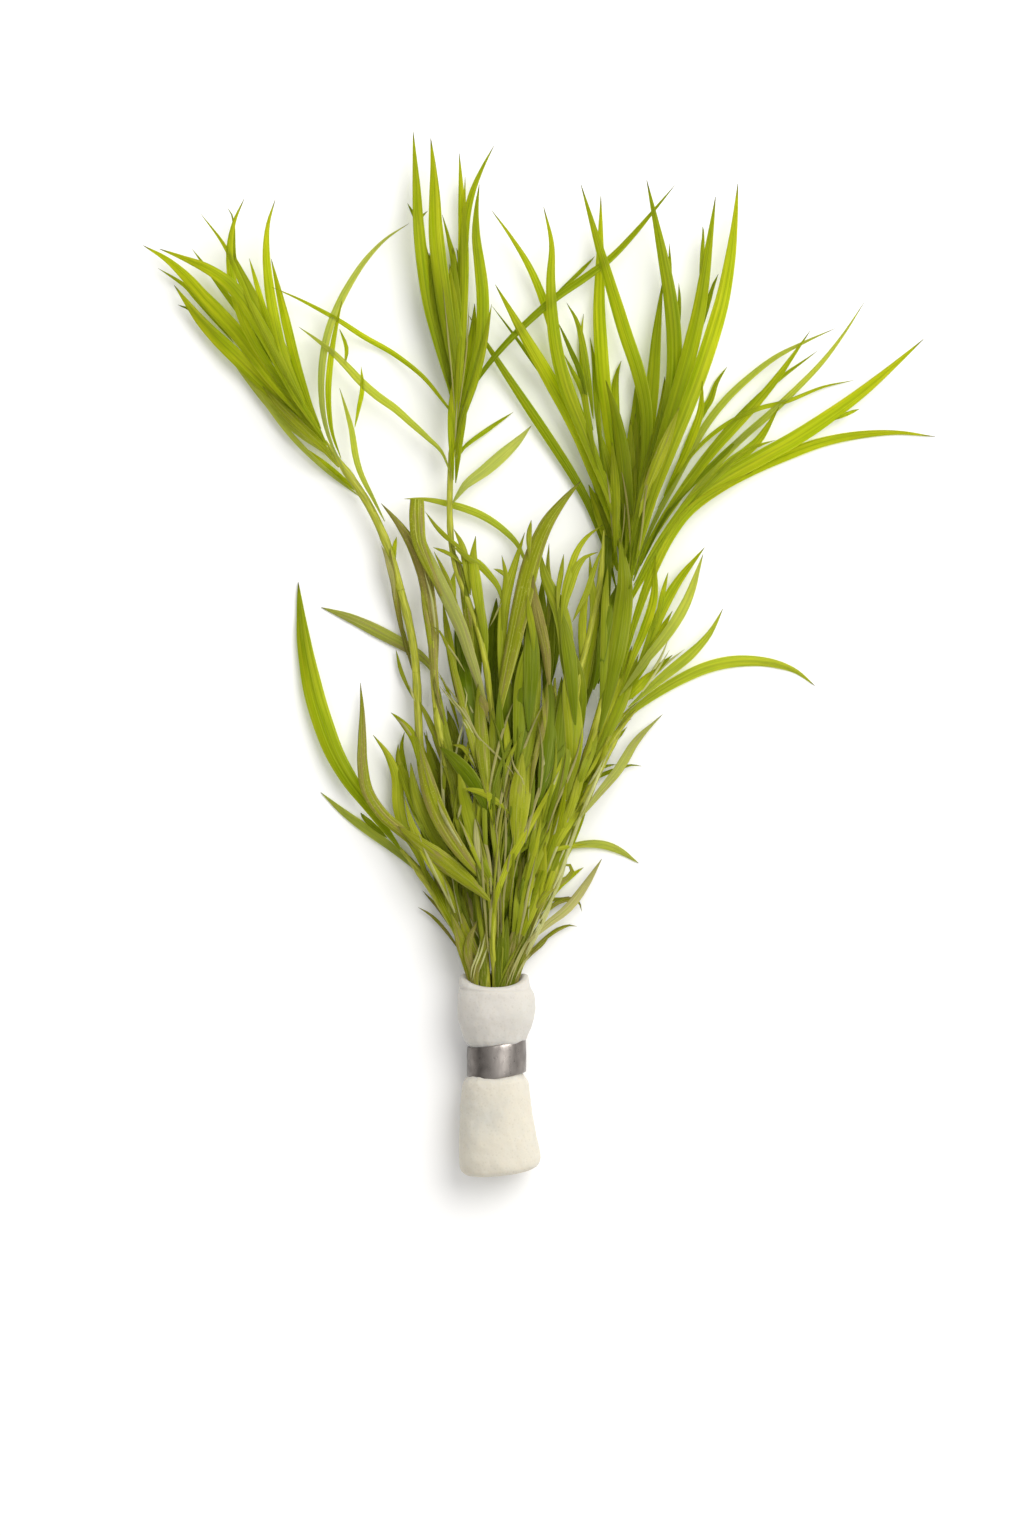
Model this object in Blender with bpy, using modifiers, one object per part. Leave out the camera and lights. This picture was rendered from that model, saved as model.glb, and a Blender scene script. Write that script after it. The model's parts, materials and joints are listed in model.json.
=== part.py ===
"""Stargrass: a bunch of grass-leaved aquarium stem cuttings, lying on its side.

The cut ends are wrapped in a soft foam sleeve, and a strip of lead bent round it pinches it shut.
The bunch lies along Y with its leaf tips at +Y, on the surface z = 0, and +Z is the side seen.

Stems and leaves follow points in plan that are read by eye, in millimetres. Their heights are
worked out as a bunch would really settle: each blade is laid over whatever lies below it.
"""

import math

import bmesh
import bpy
from mathutils import Matrix, Vector

MM = 0.001
WELD_DISTANCE = 1e-6

# Laying: all in millimetres, or millimetres of rise for a millimetre of run
CELL = 0.4
GAP = 0.32
SIDE_GAP = 0.3
STEEPEST = 0.42
FLOOR_CLEARANCE = 0.02
LOW_BASE = 1.2
HIGH_BASE = 4.6

# Blades: shares of the length from the tip, and shares of the full width
BLADE_SECTIONS = 11
BLADE_HALF_THICKNESS = 0.22
WIDEST_AT = 0.45
TIP_WIDTH = 0.07
BASE_WIDTH = 0.5

# Stems
STEM_RADIUS = 0.75
STEM_STEP = 8.0
SQUEEZED_RADIUS = 0.6
SQUEEZED_PITCH = 1.5
RING_PLACES = 8

# Foam sleeve and lead strip
SLEEVE_X = -7.65
SLEEVE_MOUTH_Y = -54.0
SLEEVE_Z = 5.7
SLEEVE_WIDENING = 1.08
SLEEVE_TURN = math.radians(1.4)
SLEEVE_LENGTH = 34.4
SLEEVE_SIDES = 20
BELOW_SURFACE = (40.0, 80.0, 10.0)
CUT_END_Y = -86.4
THROAT_Y = -62.0
MOUTH_SPREAD = 1.3
STRIP_WIDTH = 5.6
STRIP_THICKNESS = 0.7
STRIP_RADIUS = 4.33
STRIP_Y = -65.75
STRIP_TILT = math.radians(7.5)
STRIP_STEP = math.radians(12)
STRIP_LAP_START = math.radians(222)
STRIP_LAP = math.radians(34)
STRIP_RAMP = math.radians(40)
STRIP_LIFT = STRIP_THICKNESS + GAP

# Outer wall from mouth to lower end, then the bore from lower end to mouth: radius, distance from the mouth
SLEEVE_WALL = (
    (4.7, 0.0), (5.3, 0.8), (5.9, 2.8), (6.1, 5.0), (5.9, 7.4), (5.1, 9.6), (4.3, 10.8),
    (3.68, 11.1), (3.68, 18.1), (4.4, 18.4), (5.25, 19.4), (5.5, 22.5), (5.95, 27.5),
    (6.45, 31.5), (6.5, 33.0), (6.15, 34.0), (5.5, SLEEVE_LENGTH),
)  # fmt: skip
SLEEVE_BORE = (
    (3.3, SLEEVE_LENGTH), (3.1, 33.6), (2.95, 30.0), (2.95, 9.0), (3.35, 5.0), (3.9, 1.6),
    (4.2, 0.1),
)  # fmt: skip

# Finishes: base colour, roughness, metallic
YOUNG_GREEN = ((0.39, 0.45, 0.02, 1), 0.45, 0.0)
DEEP_GREEN = ((0.17, 0.23, 0.01, 1), 0.5, 0.0)
OLIVE = ((0.25, 0.26, 0.09, 1), 0.6, 0.0)
STEM_GREEN = ((0.42, 0.48, 0.04, 1), 0.45, 0.0)
FOAM_WHITE = ((0.78, 0.75, 0.66, 1), 0.95, 0.0)
LEAD_GREY = ((0.26, 0.24, 0.23, 1), 0.5, 1.0)

# A stem's place in the sleeve, in eighths of a turn from the right side, or None for the middle.
# Then its points from top to mouth: x, y, z. They are listed as they lie, the lowest first.
STEMS = (
    ("stem_back", 6, ((2.5, -4, 3.4), (2.3, -10, 3.4), (1.7, -16, 3.2), (0.7, -22, 3.0),
                      (-0.7, -28, 2.9), (-2.5, -35, 2.8), (-4.3, -42, 2.7), (-6.2, -49, 2.8))),
    ("stem_lower_left", 5, ((-24.5, -32, 2.3), (-22.4, -34.5, 2.4), (-20.4, -36.8, 2.5),
                            (-18.6, -39.2, 2.6), (-17, -42, 2.7), (-15.2, -45, 2.8),
                            (-13.3, -48, 3.0), (-11.4, -51, 3.4))),
    ("stem_lower_right", 7, ((16.2, -9.4, 2.4), (13.4, -12.8, 2.4), (11.2, -17, 2.5),
                             (9, -21.5, 2.6), (6.9, -26, 2.7), (5, -30.5, 2.8),
                             (3, -35.5, 3.0), (0.7, -41, 3.1), (-1.8, -46.5, 3.3),
                             (-4.2, -51, 3.6))),
    ("stem_left", 4, ((-36.3, 36.2, 3.6), (-33.4, 31.8, 3.6), (-30.4, 27.6, 3.6),
                      (-28, 23.4, 3.6), (-25.7, 18, 3.6), (-24.1, 12.6, 3.6),
                      (-22.6, 7, 3.7), (-21.4, 1.2, 3.8), (-20.9, -4.5, 3.9),
                      (-20.6, -11, 4.0), (-20.2, -17, 4.1), (-18.8, -23.5, 4.3),
                      (-16.6, -29.5, 4.5), (-14.1, -35.5, 4.8), (-12.1, -41.5, 5.1),
                      (-10.9, -47.5, 5.4))),
    ("stem_inner_right", 0, ((-2.6, 3, 4.3), (-2, -5, 4.4), (-1.7, -12, 4.5),
                             (-2.1, -19, 4.6), (-2.7, -26, 4.8), (-3.1, -33, 5.0),
                             (-3.5, -40, 5.3), (-4.3, -47, 5.6))),
    ("stem_middle", None, ((-13.8, 41, 3.4), (-14.8, 36, 3.4), (-15.2, 30, 3.5),
                           (-15.3, 23.5, 3.8), (-14.9, 18, 4.2), (-13.9, 13.5, 4.5),
                           (-12.2, 9, 4.8), (-10.6, 4.5, 5.0), (-9.5, 0, 5.2),
                           (-8.8, -4.5, 5.4), (-8.3, -9, 5.5), (-7.8, -14, 5.6),
                           (-7.4, -20, 5.7), (-7.1, -27, 5.7), (-7, -34, 5.7),
                           (-7.2, -44, 5.7))),
    ("stem_inner_left", 3, ((-18.4, 8, 5.2), (-18.1, 2, 5.4), (-17.8, -5, 5.6),
                            (-17.1, -12, 5.8), (-15.8, -18, 6.0), (-14, -24.5, 6.3),
                            (-12.2, -30.5, 6.6), (-10.7, -37, 6.9), (-9.9, -43.5, 7.1),
                            (-9.5, -49, 7.3))),
    ("stem_right", 1, ((16.6, 27.5, 4.4), (15.7, 20.5, 4.6), (14.7, 13.5, 4.8),
                       (13.8, 6.5, 5.1), (12.5, 0, 5.4), (11.1, -6, 5.7),
                       (9.4, -12, 6.0), (7.7, -17.5, 6.2), (5.9, -23, 6.5),
                       (3.8, -29, 6.8), (1.6, -35, 7.0), (-0.7, -41, 7.2),
                       (-2.7, -46.5, 7.6), (-4.8, -51, 7.6))),
    ("stem_bright", 2, ((10.8, 21, 4.6), (10.3, 14, 4.9), (9.4, 8, 5.3), (8, 2, 5.7),
                        (6.6, -3.5, 6.2), (5.9, -9, 6.6), (5.4, -14, 7.0),
                        (4.4, -19, 7.4), (2.4, -23.5, 7.8), (-0.2, -27.5, 8.1),
                        (-2.8, -31.3, 8.4), (-5, -34.8, 8.6), (-6.6, -38.4, 8.7),
                        (-7.5, -42, 8.7), (-8, -46.5, 8.6), (-8.1, -50.5, 8.5))),
)  # fmt: skip

# Blades: full width, height of the tip, then points in plan from tip to base.
# The first ones lie under the stems.
BLADES_UNDER = (
    ("leaf_left_1", DEEP_GREEN, 1.6, 2.0,
     ((-54, 52.5), (-49.5, 46.8), (-45, 41.5), (-40.5, 37.4), (-36, 34.2), (-33.2, 31.4))),
    ("leaf_left_2", YOUNG_GREEN, 1.3, 1.5,
     ((-50.5, 48), (-46, 42), (-42.2, 37.2), (-38.5, 33.4), (-34.5, 29.9), (-30.2, 26.6))),
    ("leaf_left_3", YOUNG_GREEN, 2.2, 3.0,
     ((-62, 62.6), (-57, 56), (-51, 50), (-46, 45), (-41, 40), (-36.5, 36))),
    ("leaf_middle_1", DEEP_GREEN, 1.6, 3.0,
     ((-13.7, 85), (-13.3, 77), (-13, 68), (-13.2, 58), (-13.4, 48), (-13.7, 39))),
    ("leaf_middle_2", DEEP_GREEN, 1.3, 3.0,
     ((-7.8, 86.3), (-10.8, 80.3), (-12.5, 74), (-13.2, 65), (-14, 55), (-14.4, 44))),
    ("leaf_middle_3", YOUNG_GREEN, 1.1, 3.0,
     ((-23.1, 26.4), (-19.7, 26.4), (-15.2, 25.5), (-10.6, 24), (-6.7, 21.6), (-3.6, 18.4),
      (-2, 14))),
    ("leaf_lower_left_1", YOUNG_GREEN, 1.8, 0.2,
     ((-37.2, 8.1), (-32.5, 6.4), (-27.3, 3.9), (-22, 1), (-18.8, -1.6), (-17.2, -5))),
    ("leaf_lower_left_2", YOUNG_GREEN, 1.3, 0.2,
     ((-37.3, -23.3), (-33.4, -26.7), (-28.8, -30.1), (-25.5, -32.5), (-22.5, -35),
      (-19.5, -38))),
    ("leaf_right_1", DEEP_GREEN, 1.4, 2.5,
     ((-12.2, 57.7), (-7, 49.5), (-2, 42), (3, 34.5), (7, 28), (9.5, 22.5), (11.6, 16.5), (13, 11))),
    ("leaf_right_2", YOUNG_GREEN, 2.0, 3.0,
     ((10.3, 77.8), (10.2, 68), (10, 58), (10.8, 46), (12, 37), (13, 28), (13.6, 21), (14.2, 14))),
    ("leaf_sweep_1", YOUNG_GREEN, 1.6, 0.3,
     ((67.2, 37.1), (60, 37.8), (50, 36.7), (40, 33.2), (31.5, 29), (25, 24), (20, 17),
      (16.6, 11.5), (14.9, 8.2))),
    ("leaf_sweep_2", YOUNG_GREEN, 1.1, 3.0,
     ((50, 55.3), (40, 50.5), (32, 43.8), (27.5, 38), (23.5, 30.5), (19.8, 23.5), (17.4, 18),
      (15.9, 13.5))),
    ("leaf_sweep_4", YOUNG_GREEN, 1.2, 4.0,
     ((54.9, 59.7), (49, 51), (41, 42.7), (34, 36.5), (28, 30), (22, 22), (18.3, 16.3), (15.9, 11.8))),
    ("leaf_right_4", DEEP_GREEN, 1.4, 4.0,
     ((-8.2, 75.2), (-2.5, 67), (1.5, 57.5), (4, 48), (7.5, 39), (10.8, 30), (13.3, 22.5))),
    ("leaf_right_6", DEEP_GREEN, 2.0, 5.0,
     ((20.8, 63.5), (19.8, 55), (19, 45), (18, 37), (16.5, 29), (15.6, 21), (15, 14))),
    ("leaf_sweep_3", YOUNG_GREEN, 1.8, 4.0,
     ((45.7, 54.8), (40, 46.7), (35, 40.8), (30, 35.5), (25, 29), (20.3, 22), (17.5, 17),
      (15.8, 12.5))),
    ("leaf_lower_right_1", YOUNG_GREEN, 1.7, 0.2,
     ((46.7, -5.2), (42.4, -2.2), (35.9, -1), (29, -1.9), (21.6, -5.4), (15.5, -9.8),
      (12.5, -13.5))),
    ("leaf_lower_right_2", YOUNG_GREEN, 1.2, 0.2,
     ((16.8, -35.4), (13.3, -33.1), (9.9, -32.1), (6.1, -32.3), (2.5, -33.5))),
)  # fmt: skip

# Small blades that are one piece with the stem they grow from
SPRIGS = {
    "stem_inner_left": (
        (1.6, 4.0, ((-26.9, 25.6), (-24, 22.2), (-21.6, 18.4), (-19.8, 13.5), (-18.8, 8.5),
                    (-18.2, 3))),
        (1.5, 6.0, ((-20.3, 11), (-19.6, 6), (-18.8, 1), (-18.2, -4), (-17.8, -9))),
        (1.8, 5.0, ((-21.9, -18.3), (-21.2, -23), (-19.4, -28), (-16.5, -33), (-12, -37))),
        (2.2, 6.0, ((-15.6, -16), (-14.3, -22), (-13, -28), (-11.6, -34), (-10.2, -41))),
    ),
    "stem_middle": (
        (2.0, 5.5, ((-14.6, 21.2), (-12.9, 18), (-12, 13.5), (-11.6, 9), (-11, 4), (-9.2, -3))),
        (1.6, 6.5, ((-10.9, 20), (-11.3, 16), (-10.7, 11), (-10, 6), (-9.5, 1), (-8.8, -5))),
        (2.4, 6.5, ((-12.8, 1), (-12.4, -6), (-11.4, -12), (-9.8, -18), (-7.4, -24))),
        (2.5, 6.5, ((-9.5, -12), (-8.9, -18), (-8, -24), (-7.3, -30), (-7, -36))),
        (2.2, 7.0, ((-3, -8), (-3.1, -13), (-3.9, -19), (-5, -25), (-6.1, -30.5), (-7, -36))),
        (1.5, 6.5, ((-17, 4.3), (-15.3, 1.5), (-13.9, -2.5), (-12.9, -7), (-12, -12.5),
                    (-10.6, -18), (-8.8, -23), (-7.2, -27.5))),
        (1.5, 5.0, ((-19.5, 70), (-18.5, 64), (-17, 57), (-15.5, 49), (-14.2, 39))),
    ),
    "stem_inner_right": (
        (2.4, 6.0, ((-2.6, 20.6), (-4.2, 15.5), (-5.7, 10), (-6, 4), (-5, -2), (-2.2, -8))),
        (1.1, 6.0, ((1.5, 18.8), (1.3, 15), (1.6, 11), (1.4, 6), (0.4, 0), (-1.6, -7))),
        (1.7, 6.5, ((-1, 13), (-1.2, 9.5), (-0.7, 5.5), (0.2, 1), (0.2, -6), (-1.7, -13))),
        (2.0, 6.5, ((2.6, -24), (1, -29), (-0.8, -34), (-2.6, -39), (-4, -44))),
        (1.8, 5.5, ((-0.6, -32), (-1.8, -37), (-3, -42), (-4.2, -48))),
    ),
    "stem_right": (
        (2.6, 5.0, ((15.6, 17), (15, 10), (14.3, 4), (13.2, -2), (11.4, -8), (8.6, -15))),
        (1.6, 5.5, ((16.3, 0), (15, -5), (13, -10), (11.2, -14.5), (9, -19.5), (6, -23.5))),
        (2.4, 5.5, ((12.6, 16), (12.2, 9), (11.2, 3), (9.9, -3), (8.7, -9), (7.9, -17))),
        (1.6, 6.5, ((8.5, -16.5), (6.9, -20.5), (5.3, -25), (3.8, -29.5), (1.8, -34.5))),
    ),
    "stem_bright": (
        (2.0, 5.5, ((-0.2, 19.5), (0.2, 15.8), (2.2, 12), (3.9, 8), (5.2, 3.5), (6, -2),
                    (6.1, -8))),
        (1.4, 5.5, ((9, 18), (6.8, 16.8), (5.2, 14), (4.2, 10.5), (4.2, 5), (5, -1),
                    (6.2, -6))),
        (1.2, 5.0, ((5.4, 5.4), (6.6, 7.8), (7.9, 10.5), (9, 14), (10.4, 18))),
        (2.4, 6.0, ((3.4, 2), (4, -4), (4.1, -10), (3.6, -16), (2.2, -22), (0, -27.3))),
        (2.4, 7.5, ((-13.6, -19), (-12.3, -24), (-11.2, -29), (-9.8, -34), (-7, -39))),
        (1.3, 9.0, ((-13.2, -22.6), (-10.5, -23.2), (-7.5, -24.6), (-5, -27), (-3, -31.3))),
        (1.6, 8.0, ((4, -20), (2.5, -23.5), (0.6, -27), (-1.4, -31), (-4.8, -34.5))),
    ),
    "stem_lower_left": (
        (1.7, 3.5, ((-28.3, -13.6), (-25.8, -17), (-24.3, -21), (-24, -25.5), (-23, -29.5),
                    (-21, -33), (-18.6, -39))),
        (2.0, 4.5, ((-15.6, -36.5), (-15.1, -40), (-14.3, -44), (-12.8, -48.5))),
    ),
    "stem_lower_right": (
        (1.5, 3.5, ((7.3, -25), (5.4, -28.6), (3.9, -32.5), (2.1, -37), (-0.6, -43.8))),
    ),
    "stem_back": (
        (1.5, 4.5, ((3.8, 8), (3.6, 2), (3.2, -4), (2.7, -9), (1.8, -15))),
    ),
}  # fmt: skip

BLADES_OVER = (
    ("leaf_lower_left_3", YOUNG_GREEN, 2.9, 0.3,
     ((-41.1, 12.4), (-40.1, 2.4), (-37.9, -8.2), (-34.3, -17.9), (-30.4, -23.7),
      (-27.3, -28), (-23.6, -33))),
    ("leaf_lower_left_4", YOUNG_GREEN, 2.2, 1.5,
     ((-30.5, -4.7), (-30.1, -11.2), (-30.1, -18), (-28.7, -24.5), (-25.5, -28),
      (-21.5, -31.4), (-17, -35), (-12.6, -38.4), (-8.8, -41.3))),
    ("leaf_inner_1", OLIVE, 2.3, 5.0,
     ((-21.2, -13), (-19.6, -19.5), (-18, -25), (-15.6, -30), (-12.6, -34.3), (-8.6, -39))),
    ("leaf_inner_2", YOUNG_GREEN, 2.5, 5.5,
     ((-20.9, 26.2), (-20.5, 20.6), (-18.8, 16.1), (-16.2, 10.5), (-13.6, 5), (-11.6, -1),
      (-9.9, -6.5), (-8.7, -11.5))),
    ("leaf_left_4", DEEP_GREEN, 2.4, 6.0,
     ((-52, 68), (-48.5, 60), (-44.5, 52.5), (-41.5, 45), (-38.5, 39.5), (-36.2, 35.7))),
    ("leaf_left_5", YOUNG_GREEN, 2.2, 2.5,
     ((-67.3, 69.4), (-62, 66), (-56.5, 60), (-51, 54), (-45, 46), (-40.5, 40.8),
      (-37, 36.6))),
    ("leaf_left_6", YOUNG_GREEN, 1.4, 6.0,
     ((-50, 77), (-52, 72), (-52.3, 65), (-50, 56), (-46, 49), (-41.5, 43), (-38, 38.5))),
    ("leaf_left_7", YOUNG_GREEN, 1.5, 5.0,
     ((-44.8, 77), (-46.3, 71), (-45.8, 62), (-43.5, 51), (-40, 42.5), (-37.5, 38), (-36, 35.2))),
    ("leaf_left_8", YOUNG_GREEN, 2.0, 5.0,
     ((-64.4, 68.6), (-57, 65.5), (-51.5, 61.5), (-46, 53), (-42, 45), (-39, 40), (-36.6, 36.4))),
    ("leaf_arc_1", YOUNG_GREEN, 1.1, 4.0,
     ((-22.2, 73), (-28, 68.7), (-33.5, 60.5), (-36.5, 52), (-36.9, 43), (-35.4, 36),
      (-33, 31))),
    ("leaf_arc_2", YOUNG_GREEN, 1.1, 3.0,
     ((-34, 45.2), (-33, 42), (-31.9, 38), (-31.3, 34), (-30.3, 30.5), (-28.3, 26.5),
      (-26.3, 22.5))),
    ("leaf_cross_1", YOUNG_GREEN, 1.2, 4.0,
     ((-40.9, 55.5), (-35, 51), (-29, 44.9), (-25, 42), (-20, 37.5), (-16.8, 34.5),
      (-15.3, 31))),
    ("leaf_cross_2", YOUNG_GREEN, 1.5, 5.0,
     ((22.8, 79.4), (15, 70.2), (9.5, 65), (4, 61.5), (-4, 54.5), (-10, 47.5),
      (-12.5, 43), (-13.6, 38.5))),
    ("leaf_middle_4", YOUNG_GREEN, 1.8, 4.0,
     ((-21.5, 88.6), (-20.9, 79), (-20.3, 70), (-18.8, 59), (-16.5, 50), (-14.6, 42.5), (-14.3, 38.5))),
    ("leaf_middle_5", YOUNG_GREEN, 2.3, 5.0,
     ((-18.5, 87.3), (-17.9, 80), (-17.5, 70), (-15.8, 57), (-14.2, 48), (-13.8, 42), (-14.3, 37.5))),
    ("leaf_middle_6", YOUNG_GREEN, 1.8, 5.0,
     ((-10.3, 79.5), (-10.9, 72), (-9.8, 62), (-9.9, 54), (-11.5, 47), (-13.2, 41), (-14.2, 36.5))),
    ("leaf_middle_7", YOUNG_GREEN, 1.8, 3.0,
     ((-1.5, 38.8), (-4, 36), (-9, 31.5), (-12.5, 28.8), (-14.8, 25.6))),
    ("leaf_right_3", YOUNG_GREEN, 2.1, 3.0,
     ((-7.6, 62.7), (-3, 54.5), (2, 46), (6, 38.5), (9, 31), (11.6, 24), (13.3, 18))),
    ("leaf_right_5", YOUNG_GREEN, 1.9, 4.0,
     ((0.6, 75.8), (2, 69), (1.8, 60), (3.5, 48), (7, 38.5), (11, 28.5), (13, 22), (14.2, 15))),
    ("leaf_right_7", YOUNG_GREEN, 2.0, 5.0,
     ((6.9, 79.5), (10.8, 66), (14, 55.5), (17.3, 45), (18, 37), (17.2, 29), (16.2, 21), (15.4, 15))),
    ("leaf_right_8", YOUNG_GREEN, 2.2, 5.0,
     ((18, 80.2), (20.8, 67), (22.5, 56), (22.5, 46), (20.5, 37), (17.8, 28), (16.2, 20),
      (15.3, 14))),
    ("leaf_right_9", YOUNG_GREEN, 2.3, 4.0,
     ((29.7, 77.5), (27.9, 64.5), (26.2, 55), (23.5, 45), (20.5, 35), (17.8, 26), (16, 17),
      (15, 11))),
    ("leaf_right_10", YOUNG_GREEN, 2.3, 3.5,
     ((33.5, 79.8), (32.6, 70), (30.8, 60), (27.8, 50), (24.5, 41), (21, 32), (17.9, 23), (16.2, 16))),
    ("leaf_sweep_5", YOUNG_GREEN, 2.6, 3.0,
     ((65, 53.5), (57, 46.5), (50.5, 41.5), (43, 36.5), (34, 31.5), (27, 27), (21, 20),
      (17.3, 14), (15.4, 10))),
    ("leaf_lower_right_3", YOUNG_GREEN, 1.5, 2.5,
     ((27.9, 18.2), (23.3, 12.3), (20.2, 6.6), (18, 1), (15.2, -5.5))),
    ("leaf_lower_right_4", YOUNG_GREEN, 1.6, 2.5,
     ((27.6, 17), (25, 9.4), (21.7, 3.8), (18, -0.8), (13.4, -7))),
    ("leaf_lower_right_5", YOUNG_GREEN, 1.5, 2.0,
     ((31, 7.8), (28.8, 3.7), (25.5, 0.1), (20.5, -4), (14.8, -9))),
    ("leaf_lower_right_6", YOUNG_GREEN, 1.4, 1.0,
     ((20.8, -10.1), (16.4, -14.5), (13.3, -19.4), (9.5, -24), (5.6, -29))),
    ("leaf_lower_right_7", YOUNG_GREEN, 1.3, 1.0,
     ((10.5, -34.6), (7.6, -39.2), (4.6, -43), (1.2, -45.6), (-2.6, -49))),
    ("leaf_inner_3", YOUNG_GREEN, 3.2, 8.0,
     ((1.2, -8), (-0.8, -12), (-2.4, -17), (-3.2, -23), (-3.6, -28.5), (-4.4, -34))),
    ("leaf_inner_4", OLIVE, 3.0, 6.0,
     ((6.9, 29.3), (3.5, 25.5), (0.5, 21), (-1.7, 15), (-3.2, 8.5), (-4.8, 1), (-6.3, -6),
      (-7.4, -12.5))),
)  # fmt: skip

pile = {}


def clear_scene():
    for obj in list(bpy.data.objects):
        bpy.data.objects.remove(obj, do_unlink=True)


def new_collection(name):
    collection = bpy.data.collections.new(name)
    bpy.context.scene.collection.children.link(collection)
    return collection


def finish(name, look):
    colour, roughness, metallic = look
    material = bpy.data.materials.new(name)
    material.use_nodes = True
    shader = material.node_tree.nodes["Principled BSDF"]
    shader.inputs["Base Color"].default_value = colour
    shader.inputs["Roughness"].default_value = roughness
    shader.inputs["Metallic"].default_value = metallic
    return material


def add(name, data, collection, look=None):
    obj = bpy.data.objects.new(name, data)
    collection.objects.link(obj)
    if look:
        data.materials.append(finish(name, look))
    return obj


def smooth_route(points, step=1.0):
    """Points about a step apart on the smooth curve through the given ones (Catmull-Rom)."""
    corners = [Vector(point) for point in points]
    corners = [2 * corners[0] - corners[1], *corners, 2 * corners[-1] - corners[-2]]
    route = []
    for before, start, end, after in zip(corners, corners[1:], corners[2:], corners[3:]):
        pieces = max(1, round((end - start).length / step))
        for piece in range(pieces):
            t = piece / pieces
            route.append(0.5 * (
                2 * start + (end - before) * t
                + (2 * before - 5 * start + 4 * end - after) * t ** 2
                + (3 * start - before - 3 * end + after) * t ** 3
            ))
    return [*route, corners[-2]]


def evenly(route, count):
    """The given number of points, equally far apart along a route."""
    lengths = [(end - start).length for start, end in zip(route, route[1:])]
    spacing = sum(lengths) / (count - 1)
    picked, walked, target = [route[0]], 0.0, spacing
    for start, end, length in zip(route, route[1:], lengths):
        while walked + length >= target and len(picked) < count - 1:
            picked.append(start.lerp(end, (target - walked) / length))
            target += spacing
        walked += length
    return [*picked, route[-1]]


def footprint(route, widths):
    """The cells in plan under a strip: number of the stretch, share along it, cell."""
    for number, (start, end) in enumerate(zip(route, route[1:])):
        start, end = start.xy, end.xy
        along = end - start
        across = Vector((-along.y, along.x)).normalized()
        steps = max(1, math.ceil(along.length / CELL))
        for step in range(steps + 1):
            share = step / steps
            half = (widths[number] * (1 - share) + widths[number + 1] * share) / 2 + SIDE_GAP
            reach = math.ceil(half / CELL)
            for side in range(-reach, reach + 1):
                place = start.lerp(end, share) + across * half * side / reach
                yield number, share, (round(place.x / CELL), round(place.y / CELL))


def lay(route, widths, thickness, wanted):
    """Heights of a strip that keeps to the wanted ones where it can, and else rests on the pile."""
    heights = list(wanted)
    for number, _, cell in footprint(route, widths):
        if cell in pile:
            rest = pile[cell] + GAP + thickness / 2
            heights[number] = max(heights[number], rest)
            heights[number + 1] = max(heights[number + 1], rest)
    runs = [(end.xy - start.xy).length for start, end in zip(route, route[1:])]
    for number, run in enumerate(runs):
        heights[number + 1] = max(heights[number + 1], heights[number] - STEEPEST * run)
    for number, run in reversed(list(enumerate(runs))):
        heights[number] = max(heights[number], heights[number + 1] - STEEPEST * run)
    return heights


def pile_up(route, widths, thickness, heights):
    """Adds a laid strip to the pile that the next ones lie on."""
    for number, share, cell in footprint(route, widths):
        top = heights[number] * (1 - share) + heights[number + 1] * share + thickness / 2
        pile[cell] = max(pile.get(cell, 0.0), top)


def curve_through(name, points, radii, collection, look):
    curve = bpy.data.curves.new(name, "CURVE")
    curve.dimensions = "3D"
    curve.twist_mode = "Z_UP"
    curve.use_fill_caps = True
    spline = curve.splines.new("POLY")
    spline.points.add(len(points) - 1)
    for spot, place, radius in zip(spline.points, points, radii):
        spot.co = (*(place * MM), 1)
        spot.radius = radius
    return add(name, curve, collection, look)


def blade_fullness(share):
    """Width at a share of the way from tip to base, as a share of the full width."""
    if share < WIDEST_AT:
        return max(TIP_WIDTH, (1 - (1 - share / WIDEST_AT) ** 2) ** 0.8)
    return 1 - (1 - BASE_WIDTH) * ((share - WIDEST_AT) / (1 - WIDEST_AT)) ** 2


def blade(name, look, width, tip_height, points, base_height, collection, base=None):
    """A leaf laid on the pile. Where a base is given, the leaf dips into it and joins it."""
    route = evenly(smooth_route(points), BLADE_SECTIONS)
    shares = [number / (BLADE_SECTIONS - 1) for number in range(BLADE_SECTIONS)]
    widths = [width * blade_fullness(share) for share in shares]
    thickness = width * BLADE_HALF_THICKNESS
    lowest = thickness / 2 + FLOOR_CLEARANCE
    wanted = [max(lowest, tip_height + (base_height - tip_height) * share) for share in shares]
    heights = lay(route, widths, thickness, wanted)
    if base is not None:
        heights[-1] = base.z
    pile_up(route, widths, thickness, heights)
    places = [Vector((spot.x, spot.y, height)) for spot, height in zip(route, heights)]
    obj = curve_through(name, places, [width / 2 for width in widths], collection, look)
    obj.data.bevel_mode = "OBJECT"
    obj.data.bevel_object = bpy.data.objects["blade_section"]
    return obj


def blade_section(collection):
    """The flat diamond across a leaf, one millimetre to each side of its midrib."""
    curve = bpy.data.curves.new("blade_section", "CURVE")
    curve.dimensions = "2D"
    spline = curve.splines.new("POLY")
    corners = ((-1, 0), (0, BLADE_HALF_THICKNESS), (1, 0), (0, -BLADE_HALF_THICKNESS))
    spline.points.add(len(corners) - 1)
    for spot, (x, y) in zip(spline.points, corners):
        spot.co = (x * MM, y * MM, 0, 1)
    spline.use_cyclic_u = True
    helper = add("blade_section", curve, collection)
    helper.hide_render = True
    helper.display_type = "WIRE"
    return helper


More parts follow.
